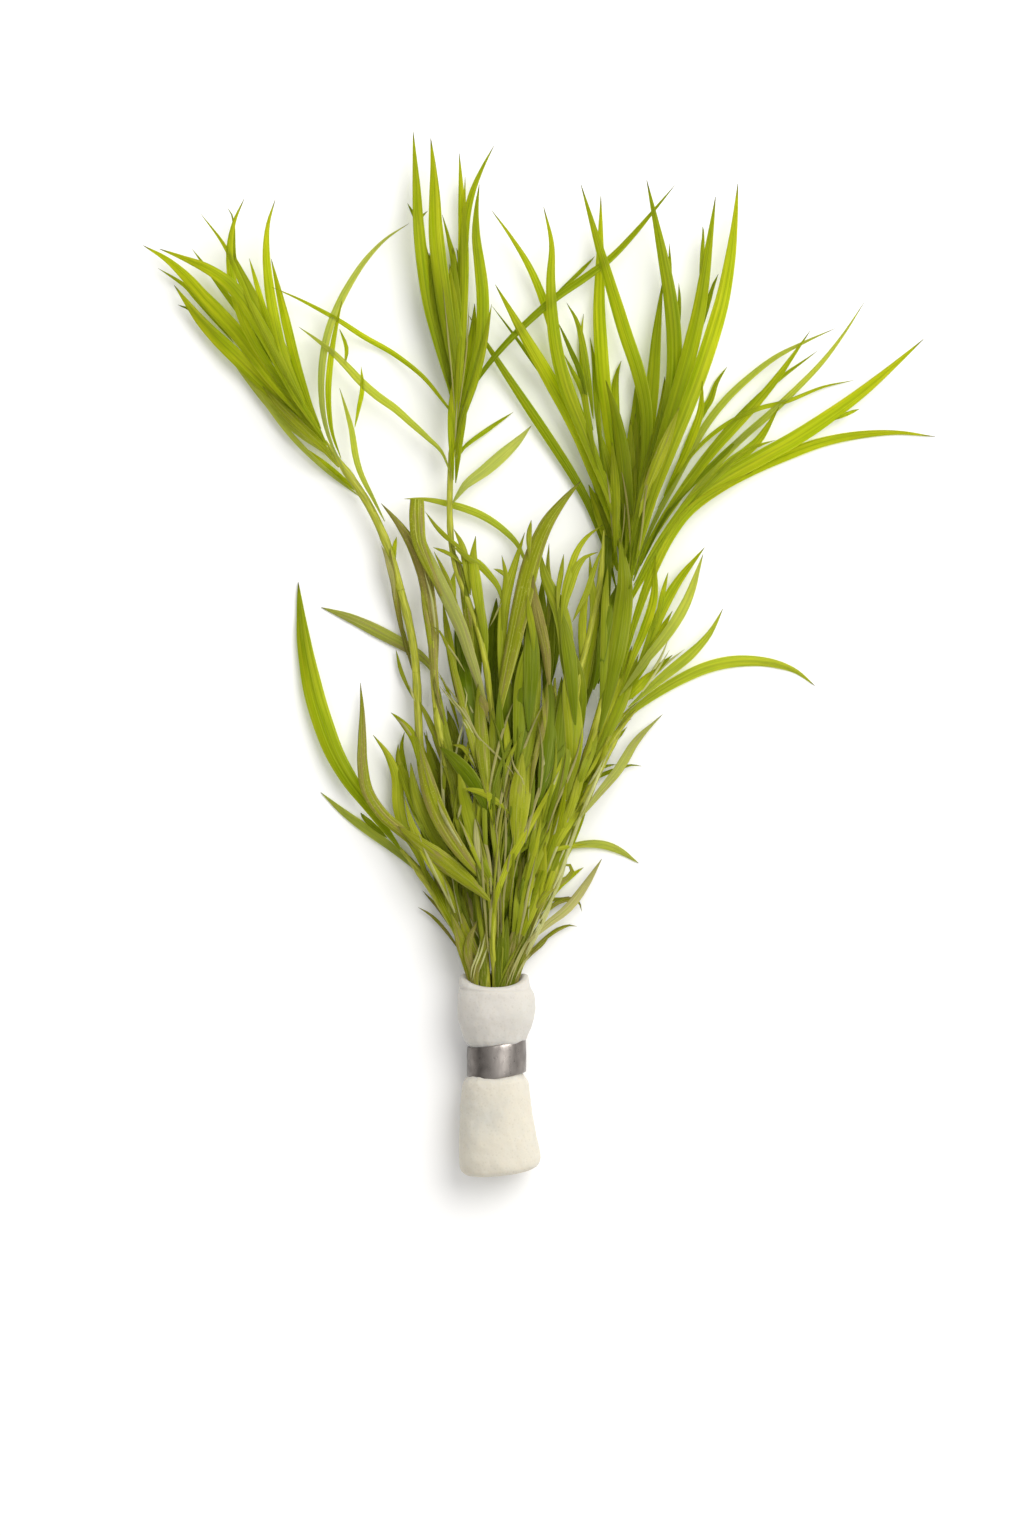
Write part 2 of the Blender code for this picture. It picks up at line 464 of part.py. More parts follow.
def sleeve_place(slot, spread=1.0):
    """A stem's x and z where it runs in the sleeve: round a ring, or in the middle of it."""
    if slot is None:
        return SLEEVE_X, SLEEVE_Z
    ring = SQUEEZED_PITCH / (2 * math.sin(math.pi / RING_PLACES)) * spread
    angle = 2 * math.pi * slot / RING_PLACES
    return SLEEVE_X + ring * math.cos(angle), SLEEVE_Z + ring * math.sin(angle)


def sleeve_shift(y):
    """How far the sleeve's turn has moved its axis to the right at a place along it."""
    return (SLEEVE_MOUTH_Y - y) * math.tan(SLEEVE_TURN)


def stem(name, slot, points, collection):
    """A stem from its top to its cut end. Only the part outside the sleeve is laid on the pile."""
    route = smooth_route(points)
    route = evenly(route, 1 + round(len(route) / STEM_STEP))
    widths = [2 * STEM_RADIUS] * len(route)
    heights = lay(route, widths, 2 * STEM_RADIUS, [spot.z for spot in route])
    pile_up(route, widths, 2 * STEM_RADIUS, heights)
    places = [Vector((spot.x, spot.y, height)) for spot, height in zip(route, heights)]
    for y, spread in ((SLEEVE_MOUTH_Y, MOUTH_SPREAD), (THROAT_Y, 1.0), (CUT_END_Y, 1.0)):
        x, z = sleeve_place(slot, spread)
        places.append(Vector((x + sleeve_shift(y), y, z)))
    squeezed = SQUEEZED_RADIUS / STEM_RADIUS
    radii = [1.0] * len(route) + [squeezed] * 3
    obj = curve_through(name, places, radii, collection, STEM_GREEN)
    obj.data.bevel_depth = STEM_RADIUS * MM
    obj.data.bevel_resolution = 1
    return obj


def as_mesh(obj, collection):
    """The same piece as a mesh with its caps welded on, in place of the curve."""
    bpy.context.view_layer.update()
    evaluated = obj.evaluated_get(bpy.context.evaluated_depsgraph_get())
    mesh = bpy.data.meshes.new_from_object(evaluated)
    form = bmesh.new()
    form.from_mesh(mesh)
    bmesh.ops.remove_doubles(form, verts=form.verts, dist=WELD_DISTANCE)
    bmesh.ops.recalc_face_normals(form, faces=form.faces)
    form.to_mesh(mesh)
    form.free()
    name, place = obj.name, obj.matrix_world.copy()
    bpy.data.objects.remove(obj, do_unlink=True)
    solid = bpy.data.objects.new(name, mesh)
    solid.matrix_world = place
    collection.objects.link(solid)
    return solid


def add_sprigs(stem_obj, sprigs, parts, helpers):
    """Grows small blades from a stem and joins them to it."""
    path = [Vector(spot.co[:3]) / MM for spot in stem_obj.data.splines[0].points]
    path = smooth_route(path)
    cutters = []
    for number, (width, tip_height, points) in enumerate(sprigs, 1):
        wanted = Vector(points[-1])
        base = min(path, key=lambda spot: (spot.xy - wanted).length)
        points = (*points[:-1], tuple(base.xy))
        name = f"{stem_obj.name}_sprig_{number}"
        cutters.append(blade(name, YOUNG_GREEN, width, tip_height, points, base.z, helpers, base))
    whole = as_mesh(stem_obj, parts)
    for cutter in cutters:
        cutter = as_mesh(cutter, helpers)
        cutter.hide_render = True
        cutter.display_type = "WIRE"
        union = whole.modifiers.new(cutter.name, "BOOLEAN")
        union.operation = "UNION"
        union.object = cutter


def foam_sleeve(parts, helpers):
    """A turned tube with a pinched waist, cut flat where it rests on the surface."""
    profile = [*SLEEVE_WALL, *SLEEVE_BORE]
    mesh = bpy.data.meshes.new("foam_sleeve")
    corners = [(radius * MM, 0, -down * MM) for radius, down in profile]
    mesh.from_pydata(corners, [(i, (i + 1) % len(corners)) for i in range(len(corners))], [])
    sleeve = add("foam_sleeve", mesh, parts, FOAM_WHITE)
    turn = sleeve.modifiers.new("turn", "SCREW")
    turn.steps = SLEEVE_SIDES
    turn.render_steps = SLEEVE_SIDES
    turn.use_merge_vertices = True
    turn.merge_threshold = 0.0001
    place = Matrix.Translation(Vector((SLEEVE_X, SLEEVE_MOUTH_Y, SLEEVE_Z)) * MM)
    widen = Matrix.Diagonal((SLEEVE_WIDENING, 1, 1, 1))
    lie_down = Matrix.Rotation(math.radians(-90), 4, "X")
    sleeve.matrix_world = place @ Matrix.Rotation(SLEEVE_TURN, 4, "Z") @ widen @ lie_down

    width, length, depth = BELOW_SURFACE
    bpy.ops.mesh.primitive_cube_add(size=1)
    below = bpy.context.object
    below.name = "below_surface"
    below.scale = Vector((width, length, depth)) * MM
    below.location = Vector((SLEEVE_X, SLEEVE_MOUTH_Y - SLEEVE_LENGTH / 2, -depth / 2)) * MM
    for collection in list(below.users_collection):
        collection.objects.unlink(below)
    helpers.objects.link(below)
    below.hide_render = True
    below.display_type = "WIRE"
    flat = sleeve.modifiers.new("rest flat", "BOOLEAN")
    flat.operation = "DIFFERENCE"
    flat.object = below


def strip_radius(turned):
    """The strip's middle: round the foam, then stepping out to lap over its own start."""
    ramp_start = 2 * math.pi - STRIP_RAMP
    share = min(1.0, max(0.0, (turned - ramp_start) / STRIP_RAMP))
    return STRIP_RADIUS + STRIP_LIFT * share ** 2 * (3 - 2 * share)


def lead_strip(parts):
    """A flat strip bent once round the sleeve, with its end lapped over its start at the lower left."""
    steps = round((2 * math.pi + STRIP_LAP) / STRIP_STEP)
    form = bmesh.new()
    bend = []
    for step in range(steps + 1):
        turned = (2 * math.pi + STRIP_LAP) * step / steps
        radius, angle = strip_radius(turned), STRIP_LAP_START + turned
        across = radius * SLEEVE_WIDENING * math.cos(angle)
        spot = Vector((across, across * math.tan(STRIP_TILT), radius * math.sin(angle)))
        bend.append(form.verts.new(spot * MM))
    edges = [form.edges.new(pair) for pair in zip(bend, bend[1:])]
    drawn = bmesh.ops.extrude_edge_only(form, edges=edges)["geom"]
    far_side = [spot for spot in drawn if isinstance(spot, bmesh.types.BMVert)]
    bmesh.ops.translate(form, verts=far_side, vec=(0, -STRIP_WIDTH * MM, 0))
    mesh = bpy.data.meshes.new("lead_strip")
    form.to_mesh(mesh)
    form.free()
    strip = add("lead_strip", mesh, parts, LEAD_GREY)
    centre_shift = sleeve_shift(STRIP_Y - STRIP_WIDTH / 2)
    strip.location = Vector((SLEEVE_X + centre_shift, STRIP_Y, SLEEVE_Z)) * MM
    wall = strip.modifiers.new("thickness", "SOLIDIFY")
    wall.thickness = STRIP_THICKNESS * MM
    wall.offset = 0


def main():
    clear_scene()
    parts = new_collection("stargrass")
    helpers = new_collection("helpers")
    blade_section(helpers)
    foam_sleeve(parts, helpers)
    lead_strip(parts)
    for name, look, width, tip_height, points in BLADES_UNDER:
        blade(name, look, width, tip_height, points, LOW_BASE, parts)
    stems = [stem(name, slot, points, parts) for name, slot, points in STEMS]
    for stem_obj in stems:
        if stem_obj.name in SPRIGS:
            add_sprigs(stem_obj, SPRIGS[stem_obj.name], parts, helpers)
    for name, look, width, tip_height, points in BLADES_OVER:
        blade(name, look, width, tip_height, points, HIGH_BASE, parts)


main()
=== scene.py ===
# %% [markdown]
# # A bunch of stargrass
#
# The bunch is a handful of cut water-plant stems with narrow, grass-like leaves. It lies on a
# pale surface, and its cut ends are wrapped in white foam that a bent strip of lead pinches shut.
#
# The frame already holds plain solids at the right place: nine stems, the larger leaves, the
# foam and the lead. This lesson gives each of them its finish, and adds the many small leaves,
# shreds and hairs that a plant has and a set of solids leaves out.

# %% Load the frame
import json
import math
import random

import bmesh
import bpy
from mathutils import Matrix, Vector, noise
from mathutils.bvhtree import BVHTree

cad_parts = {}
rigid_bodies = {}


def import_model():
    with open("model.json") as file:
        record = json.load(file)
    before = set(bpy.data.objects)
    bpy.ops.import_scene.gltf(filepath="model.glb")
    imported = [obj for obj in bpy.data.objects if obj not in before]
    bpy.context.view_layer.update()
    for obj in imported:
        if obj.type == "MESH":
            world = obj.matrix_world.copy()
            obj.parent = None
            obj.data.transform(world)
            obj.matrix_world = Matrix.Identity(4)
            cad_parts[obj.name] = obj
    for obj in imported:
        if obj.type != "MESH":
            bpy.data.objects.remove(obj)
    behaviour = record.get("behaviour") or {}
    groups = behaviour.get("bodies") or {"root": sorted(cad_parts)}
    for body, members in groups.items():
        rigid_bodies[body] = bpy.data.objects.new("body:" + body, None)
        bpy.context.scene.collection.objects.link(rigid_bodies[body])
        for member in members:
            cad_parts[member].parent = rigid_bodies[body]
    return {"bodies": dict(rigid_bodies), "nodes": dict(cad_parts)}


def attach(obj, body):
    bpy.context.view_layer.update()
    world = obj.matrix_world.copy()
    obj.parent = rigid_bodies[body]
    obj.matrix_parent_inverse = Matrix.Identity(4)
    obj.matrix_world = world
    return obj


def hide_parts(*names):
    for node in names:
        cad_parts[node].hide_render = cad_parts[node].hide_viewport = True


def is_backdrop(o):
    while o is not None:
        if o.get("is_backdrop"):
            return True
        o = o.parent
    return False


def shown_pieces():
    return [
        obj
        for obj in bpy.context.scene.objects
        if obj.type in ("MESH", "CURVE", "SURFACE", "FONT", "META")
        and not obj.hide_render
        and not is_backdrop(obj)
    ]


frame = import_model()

MM = 0.001
framed = {*frame["nodes"].values(), *frame["bodies"].values()}
for startup in [obj for obj in bpy.data.objects if obj not in framed]:
    bpy.data.objects.remove(startup)
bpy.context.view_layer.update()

# %% [markdown]
# ## Camera, surface and light
#
# The bunch is seen from straight above, so the camera looks down the Z axis from a metre away.
# A long lens at that distance keeps the tall foam from leaning outwards in the picture.
#
# A plant like this is pictured in soft light. One broad lamp stands at the upper right, and the
# sky is a smooth ramp from bright at that side to dimmer at the other, so that round things such
# as the foam have a light and a shaded side. A plain white sky would show them flat.

# %% A helper that puts an object in the scene
def add_object(name, data):
    """A new object in the scene that shows the given data."""
    made = bpy.data.objects.new(name, data)
    bpy.context.scene.collection.objects.link(made)
    return made


# %% Camera
VIEW_CENTRE = Vector((-4.76, -19.2, 0)) * MM
VIEW_HEIGHT = 261.1 * MM
CAMERA_DISTANCE = 1.0
SENSOR = 36.0
NEAREST = 0.01

camera_data = bpy.data.cameras.new("camera")
camera_data.sensor_width = SENSOR
camera_data.lens = SENSOR * CAMERA_DISTANCE / VIEW_HEIGHT
camera_data.clip_start = NEAREST
camera = add_object("camera", camera_data)
camera.location = VIEW_CENTRE + Vector((0, 0, CAMERA_DISTANCE))
bpy.context.scene.camera = camera
bpy.context.scene.view_settings.view_transform = "Standard"
print("lens:", round(camera_data.lens, 1), "mm")


# %% Helpers for materials and node trees
def new_material(name):
    """A new material and its tree, which starts with one surface shader."""
    material = bpy.data.materials.new(name)
    material.use_nodes = True
    return material, material.node_tree


def fill_inputs(tree, made, inputs):
    """Gives a node's inputs their values, or links them to other nodes."""
    for place, value in inputs.items():
        if isinstance(value, bpy.types.NodeSocket):
            tree.links.new(value, made.inputs[place])
        else:
            made.inputs[place].default_value = value


def node(tree, kind, inputs=None, pick=0, **settings):
    """Adds a node, fills its inputs with values or links, and returns one of its outputs."""
    made = tree.nodes.new(kind)
    for name, value in settings.items():
        setattr(made, name, value)
    fill_inputs(tree, made, inputs or {})
    return made.outputs[pick] if len(made.outputs) else made


def calculate(tree, operation, *values):
    """One step of arithmetic on numbers and links."""
    return node(tree, "ShaderNodeMath", dict(enumerate(values)), operation=operation)


def blend_colours(tree, share, first, second, blend_type="MIX"):
    """Mixes two colours. The colour sockets of the Mix node are numbers 6 and 7, its result 2."""
    return node(
        tree, "ShaderNodeMix", {0: share, 6: first, 7: second}, pick=2,
        data_type="RGBA", blend_type=blend_type,
    )


# %% Surface, lamp and sky
FLOOR_SIZE = 4.0
FLOOR_DROP = 0.05 * MM
FLOOR_COLOUR = (0.985, 0.985, 0.985, 1)
FLOOR_ROUGHNESS = 0.9
LAMP_SIZE = 0.8
LAMP_PLACE = Vector((0.42, 0.36, 0.78))
LAMP_POWER = 7.0
LAMP_COLOUR = (1.0, 0.985, 0.96)
SKY_BRIGHT = 0.86
SKY_DIM = 0.46
SKY_COLOUR = (1.0, 0.992, 0.978, 1)
SKY_SIDE = Vector((0.62, 0.42, 0.66))
# How far a direction points to the bright side where the ramp starts and ends, -1 to 1
SKY_RAMP = (-0.6, 1.0)

bpy.ops.mesh.primitive_grid_add(x_subdivisions=4, y_subdivisions=4, size=FLOOR_SIZE)
floor = bpy.context.object
floor.name = "surface"
floor.data.transform(Matrix.Translation((0, 0, -FLOOR_DROP)))
floor_paint, floor_tree = new_material("pale_surface")
fill_inputs(floor_tree, floor_tree.nodes["Principled BSDF"], {
    "Base Color": FLOOR_COLOUR, "Roughness": FLOOR_ROUGHNESS,
})
floor.data.materials.append(floor_paint)
floor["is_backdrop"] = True

lamp_data = bpy.data.lights.new("broad_lamp", "AREA")
lamp_data.shape = "DISK"
lamp_data.size = LAMP_SIZE
lamp_data.energy = LAMP_POWER
lamp_data.color = LAMP_COLOUR
lamp = add_object("broad_lamp", lamp_data)
lamp.location = LAMP_PLACE
lamp.rotation_euler = LAMP_PLACE.to_track_quat("Z", "Y").to_euler()

sky = bpy.data.worlds.new("soft_sky")
sky.use_nodes = True
bpy.context.scene.world = sky
sky_tree = sky.node_tree
sky_tree.nodes.clear()
direction = node(sky_tree, "ShaderNodeTexCoord")
towards = node(
    sky_tree, "ShaderNodeVectorMath", {0: direction, 1: SKY_SIDE.normalized()},
    pick="Value", operation="DOT_PRODUCT",
)
strength = node(
    sky_tree, "ShaderNodeMapRange",
    {0: towards, 1: SKY_RAMP[0], 2: SKY_RAMP[1], 3: SKY_DIM, 4: SKY_BRIGHT},
)
glow = node(sky_tree, "ShaderNodeBackground", {"Color": SKY_COLOUR, "Strength": strength})
node(sky_tree, "ShaderNodeOutputWorld", {"Surface": glow})
print("lamp at", tuple(round(value, 2) for value in lamp.location))

# %% [markdown]
# ## Living finishes
#
# A stargrass leaf is a thin ribbon of wet-looking tissue. Light comes through it, so one leaf over the
# white surface glows yellow-green, and where two cross the green is deeper. That is why the finish
# mixes an ordinary glossy surface with a translucent one. Some shade is painted as well: the green
# deepens towards the base, where leaves overlap, and in leaves that lie deep in the bunch.
#
# Along the leaf run fine parallel veins with a darker midrib. The pattern has to follow each leaf as
# it bends, so it reads numbers stored on the mesh: where a point is across the leaf and how far along
# it, how old and how pale the leaf is, and how deep its green is. That last number, the shade, is
# partly the leaf's own green and partly painted shade on leaves that lie under others, in the dense
# middle and in hollows. It differs from leaf to leaf, so it also shifts the streaks.
#
# Light can't come up through a leaf that lies on a heap of others. So there are two finishes of
# the same pattern: one for young leaves that lie free, and one that lets less light through, for
# old leaves and for those pressed on others.

# %% Numbers that the finishes read from the mesh
YOUNG_LIGHT = (0.63, 0.625, 0.042, 1)
YOUNG_STREAK = (0.475, 0.54, 0.014, 1)
# Deep green, also used as painted shade
YOUNG_DEEP_AND_SHADE = (0.165, 0.235, 0.0, 1)
OLD_GREEN = (0.40, 0.43, 0.014, 1)
# Deep olive, also used as painted shade in hollows
OLD_DEEP_AND_SHADE = (0.09, 0.12, 0.001, 1)
OLD_BROWN = (0.37, 0.30, 0.10, 1)
BLEACHED = (0.66, 0.66, 0.36, 1)
DARK_TIP = (0.10, 0.085, 0.03, 1)
PALE_VEIN = (0.62, 0.645, 0.14, 1)
PALE_GREEN = (0.50, 0.51, 0.33, 1)
# Colours that darken what is below them
DARK_LINE = (0.46, 0.56, 0.14, 1)
DARK_MIDRIB = (0.35, 0.42, 0.12, 1)
PAINTED_SHADE_HALF = (0.5, 0.5, 0.25, 1)
NEAR_TIP = (0.45, 0.44, 0.4, 1)
# How far apart in the noise two leaves are whose shade numbers differ by 1
STREAK_SHIFT = 40.0


def number_on_mesh(tree, name):
    """A number stored on the mesh, for a material to read."""
    return node(tree, "ShaderNodeAttribute", pick="Fac", attribute_name=name)


def streaks(tree, across_scale, along_scale, detail=3.0):
    """Noise drawn out along the leaf, shifted from leaf to leaf."""
    place = node(tree, "ShaderNodeCombineXYZ", {
        0: calculate(tree, "MULTIPLY", number_on_mesh(tree, "across"), across_scale),
        1: calculate(tree, "MULTIPLY", number_on_mesh(tree, "along"), along_scale),
        2: calculate(tree, "MULTIPLY", number_on_mesh(tree, "shade"), STREAK_SHIFT),
    })
    return node(tree, "ShaderNodeTexNoise", {"Vector": place, "Scale": 1.0, "Detail": detail})


def ramp(tree, value, low, high, start=0.0, end=1.0):
    """A straight ramp between two values, held at both ends."""
    return node(tree, "ShaderNodeMapRange", {0: value, 1: low, 2: high, 3: start, 4: end})


# %% The leaf finish
LEAF_ROUGHNESS = (0.27, 0.46)
LEAF_SHINE = 0.12
YOUNG_LIGHT_THROUGH = 0.73
DENSE_LIGHT_THROUGH = 0.42
LINE_RELIEF = 0.05 * MM
# Light that comes through a leaf is brighter than the leaf's own colour
LIGHT_THROUGH_GAIN = {"Value": 1.65, "Saturation": 0.97}


def fresh_colour(tree):
    """Yellow-green at the tip and deeper towards the base, in streaks along the leaf. The deepening is
    partly the leaf's own green and partly painted shade, of overlaps near the base and by the shade
    number.
    """
    light = blend_colours(
        tree, ramp(tree, streaks(tree, 2.5, 5.0), 0.3, 0.7), YOUNG_LIGHT, YOUNG_STREAK
    )
    # Partly painted shade: deeper towards the base, where leaves overlap, and more with the shade
    # number
    deeper = ramp(tree, number_on_mesh(tree, "along"), 0.3, 1.0, 0.0, 0.3)
    deeper = calculate(tree, "ADD", deeper, number_on_mesh(tree, "shade"))
    deeper.node.use_clamp = True
    return blend_colours(tree, deeper, light, YOUNG_DEEP_AND_SHADE)


def aged_colour(tree, age):
    """Fresh green, then olive, then brown in patches and at last bleached, as age goes to 2."""
    # The shade number darkens the olive, partly as painted shade in hollows and under other leaves
    shaded = calculate(tree, "MULTIPLY", number_on_mesh(tree, "shade"), 0.8)
    olive = blend_colours(tree, shaded, OLD_GREEN, OLD_DEEP_AND_SHADE)
    colour = blend_colours(tree, ramp(tree, age, 0.1, 0.8), fresh_colour(tree), olive)
    wider = ramp(tree, age, 0.2, 1.1, -0.22, 0.2)
    patches = calculate(tree, "ADD", streaks(tree, 2.0, 4.0), wider)
    colour = blend_colours(tree, ramp(tree, patches, 0.5, 0.66, 0.0, 0.85), colour, OLD_BROWN)
    return blend_colours(tree, ramp(tree, age, 1.1, 2.0), colour, BLEACHED)


def add_lines(tree, age, colour):
    """Dark and pale lines along the leaf, and pale specks on an older one."""
    dark_lines = ramp(tree, streaks(tree, 6.5, 1.6), 0.5, 0.64, 0.0, 0.38)
    colour = blend_colours(tree, dark_lines, colour, DARK_LINE, "MULTIPLY")
    pale_lines = ramp(tree, streaks(tree, 9.5, 2.4, 2.0), 0.55, 0.68)
    pale = calculate(tree, "MULTIPLY", pale_lines, ramp(tree, age, 0.0, 0.9, 0.3, 0.85))
    colour = blend_colours(tree, pale, colour, PALE_VEIN)
    specks = ramp(tree, streaks(tree, 8.0, 90.0, 1.0), 0.62, 0.72)
    specks = calculate(tree, "MULTIPLY", specks, ramp(tree, age, 0.1, 0.8, 0.0, 0.6))
    return blend_colours(tree, specks, colour, PALE_VEIN)


def leaf_colour(tree):
    """The aged and lined colour, with a pale margin that is partly a painted highlight, a dark midrib,
    painted shade on one half and a dark tip.
    """
    age, across = number_on_mesh(tree, "age"), number_on_mesh(tree, "across")
    along, off_middle = number_on_mesh(tree, "along"), calculate(tree, "ABSOLUTE", across)
    colour = add_lines(tree, age, aged_colour(tree, age))
    # A pale margin: partly the leaf's own pale edge, partly a painted highlight along it
    colour = blend_colours(tree, ramp(tree, off_middle, 0.82, 1.0, 0.0, 0.4), colour, PALE_VEIN)
    midrib = ramp(tree, off_middle, 0.0, 0.14, 0.35, 0.0)
    colour = blend_colours(tree, midrib, colour, DARK_MIDRIB, "MULTIPLY")
    # Painted shade along one half of each leaf, stronger on an old one
    shaded_half = ramp(tree, across, 0.35, 0.95)
    shaded_half = calculate(tree, "MULTIPLY", shaded_half, ramp(tree, age, 0.0, 0.8, 0.2, 0.5))
    colour = blend_colours(tree, shaded_half, colour, PAINTED_SHADE_HALF, "MULTIPLY")
    near_tip = ramp(tree, along, 0.08, 0.42, 0.3, 0.0)
    colour = blend_colours(tree, near_tip, colour, NEAR_TIP, "MULTIPLY")
    colour = blend_colours(tree, number_on_mesh(tree, "pale"), colour, PALE_GREEN)
    return blend_colours(tree, ramp(tree, along, 0.0, 0.04, 0.7, 0.0), colour, DARK_TIP)


def bump(tree, strength, depth, height):
    """Relief that doesn't change the shape, only how light falls on it."""
    return node(
        tree, "ShaderNodeBump", {"Strength": strength, "Distance": depth, "Height": height}
    )


def living_finish(name, light_through, make_parts):
    """A material that mixes a glossy surface with light that comes through from behind."""
    material, tree = new_material(name)
    tree.nodes.clear()
    colour, lit_colour, relief, roughness, shine = make_parts(tree)
    surface = node(tree, "ShaderNodeBsdfPrincipled", {
        "Base Color": colour, "Roughness": roughness, "Normal": relief,
        "Specular IOR Level": shine,
    })
    through = node(tree, "ShaderNodeBsdfTranslucent", {"Color": lit_colour, "Normal": relief})
    mixed = node(tree, "ShaderNodeMixShader", {0: light_through, 1: surface, 2: through})
    node(tree, "ShaderNodeOutputMaterial", {"Surface": mixed})
    return material


def leaf_parts(tree):
    """Colour, colour of the light that comes through, relief, roughness and shine of a leaf."""
    colour = leaf_colour(tree)
    fine = calculate(tree, "MULTIPLY", streaks(tree, 12.0, 40.0), 0.35)
    ribs = calculate(tree, "ADD", streaks(tree, 8.0, 2.0, 2.0), fine)
    brighter = node(tree, "ShaderNodeHueSaturation", {**LIGHT_THROUGH_GAIN, "Color": colour})
    roughness = ramp(tree, ribs, 0.45, 0.9, *LEAF_ROUGHNESS)
    return colour, brighter, bump(tree, 1.0, LINE_RELIEF, ribs), roughness, LEAF_SHINE


young_leaf = living_finish("young_leaf", YOUNG_LIGHT_THROUGH, leaf_parts)
dense_leaf = living_finish("dense_leaf", DENSE_LIGHT_THROUGH, leaf_parts)
print("leaf finishes:", young_leaf.name, dense_leaf.name)

# %% [markdown]
# The stems are the brightest green of the plant. They are round, juicy and finely ribbed, with
# a little brown at some of the joints where leaves once sat. The lower part of an older stem has
# gone dull, so the finish reads an age here too.

# %% The stem finish
STEM_LIGHT = (0.58, 0.59, 0.05, 1)
STEM_DEEP = (0.30, 0.33, 0.02, 1)
STEM_DULL = (0.17, 0.15, 0.02, 1)
STEM_ROUGHNESS = (0.3, 0.5)
STEM_SHINE = 0.3
STEM_LIGHT_THROUGH = 0.2


def stem_parts(tree):
    """The same five for a stem, whose lower part gets duller with its age."""
    deeper = ramp(tree, streaks(tree, 3.0, 40.0), 0.35, 0.68)
    colour = blend_colours(tree, deeper, STEM_LIGHT, STEM_DEEP)
    brown = ramp(tree, streaks(tree, 1.0, 9.0), 0.6, 0.75, 0.0, 0.6)
    colour = blend_colours(tree, brown, colour, OLD_BROWN)
    lower_part = ramp(tree, number_on_mesh(tree, "along"), 0.3, 0.55)
    dull = calculate(tree, "MULTIPLY", number_on_mesh(tree, "age"), lower_part)
    colour = blend_colours(tree, dull, colour, STEM_DULL)
    fine = streaks(tree, 14.0, 60.0)
    roughness = ramp(tree, fine, 0.3, 0.7, *STEM_ROUGHNESS)
    return colour, colour, bump(tree, 0.6, LINE_RELIEF, fine), roughness, STEM_SHINE


stem_skin = living_finish("stem_skin", STEM_LIGHT_THROUGH, stem_parts)
print("stem finish:", stem_skin.name)

# %% [markdown]
# ## Growing leaves along their routes
#
# Every leaf is the same kind of thing: a ribbon that is pointed at the tip, widest near its
# middle and narrow where it joins the stem. That is a rule, so one Geometry Nodes tree makes them
# all. It turns each route into a curve, sets the ribbon's half-width along it, and sweeps a thin
# folded section. The section is closed, so a leaf has two sides and an edge.
#
# Modelling each leaf by hand would allow more variety, but there are some hundreds of them, and
# a change to the section would have to be made as many times.


# %% The leaf tree
def new_tree(name, inputs):
    """An empty tree that takes a geometry and named inputs, and gives a geometry back."""
    tree = bpy.data.node_groups.new(name, "GeometryNodeTree")
    sockets = tree.interface
    sockets.new_socket("Geometry", in_out="INPUT", socket_type="NodeSocketGeometry")
    for label, (kind, value) in inputs.items():
        socket = sockets.new_socket(label, in_out="INPUT", socket_type=f"NodeSocket{kind}")
        if value is not None:
            socket.default_value = value
    sockets.new_socket("Geometry", in_out="OUTPUT", socket_type="NodeSocketGeometry")
    return tree


def stored(tree, name):
    """A number stored on the geometry, for a geometry tree to read."""
    return node(tree, "GeometryNodeInputNamedAttribute", {"Name": name}, data_type="FLOAT")


def store(tree, geometry, name, value):
    """Stores a number on each point of the geometry."""
    return node(
        tree, "GeometryNodeStoreNamedAttribute",
        {"Geometry": geometry, "Name": name, "Value": value}, data_type="FLOAT", domain="POINT",
    )


def width_profile(tree, along, points):
    """A curve drawn through given points from tip to base, as a share of the full half-width."""
    output = node(tree, "ShaderNodeFloatCurve", {"Value": along})
    curve = output.node.mapping.curves[0]
    curve.points[0].location = points[0]
    curve.points[1].location = points[-1]
    for point in points[1:-1]:
        curve.points.new(*point)
    output.node.mapping.update()
    return output


LEAF_WIDTH_PROFILE = (
    (0.0, 0.03), (0.1, 0.38), (0.26, 0.8), (0.44, 1.0), (0.66, 0.86), (0.85, 0.52), (1.0, 0.12)
)
# The noise stays near its middle, so the wave is made this much stronger
SWAY_GAIN = 4.0


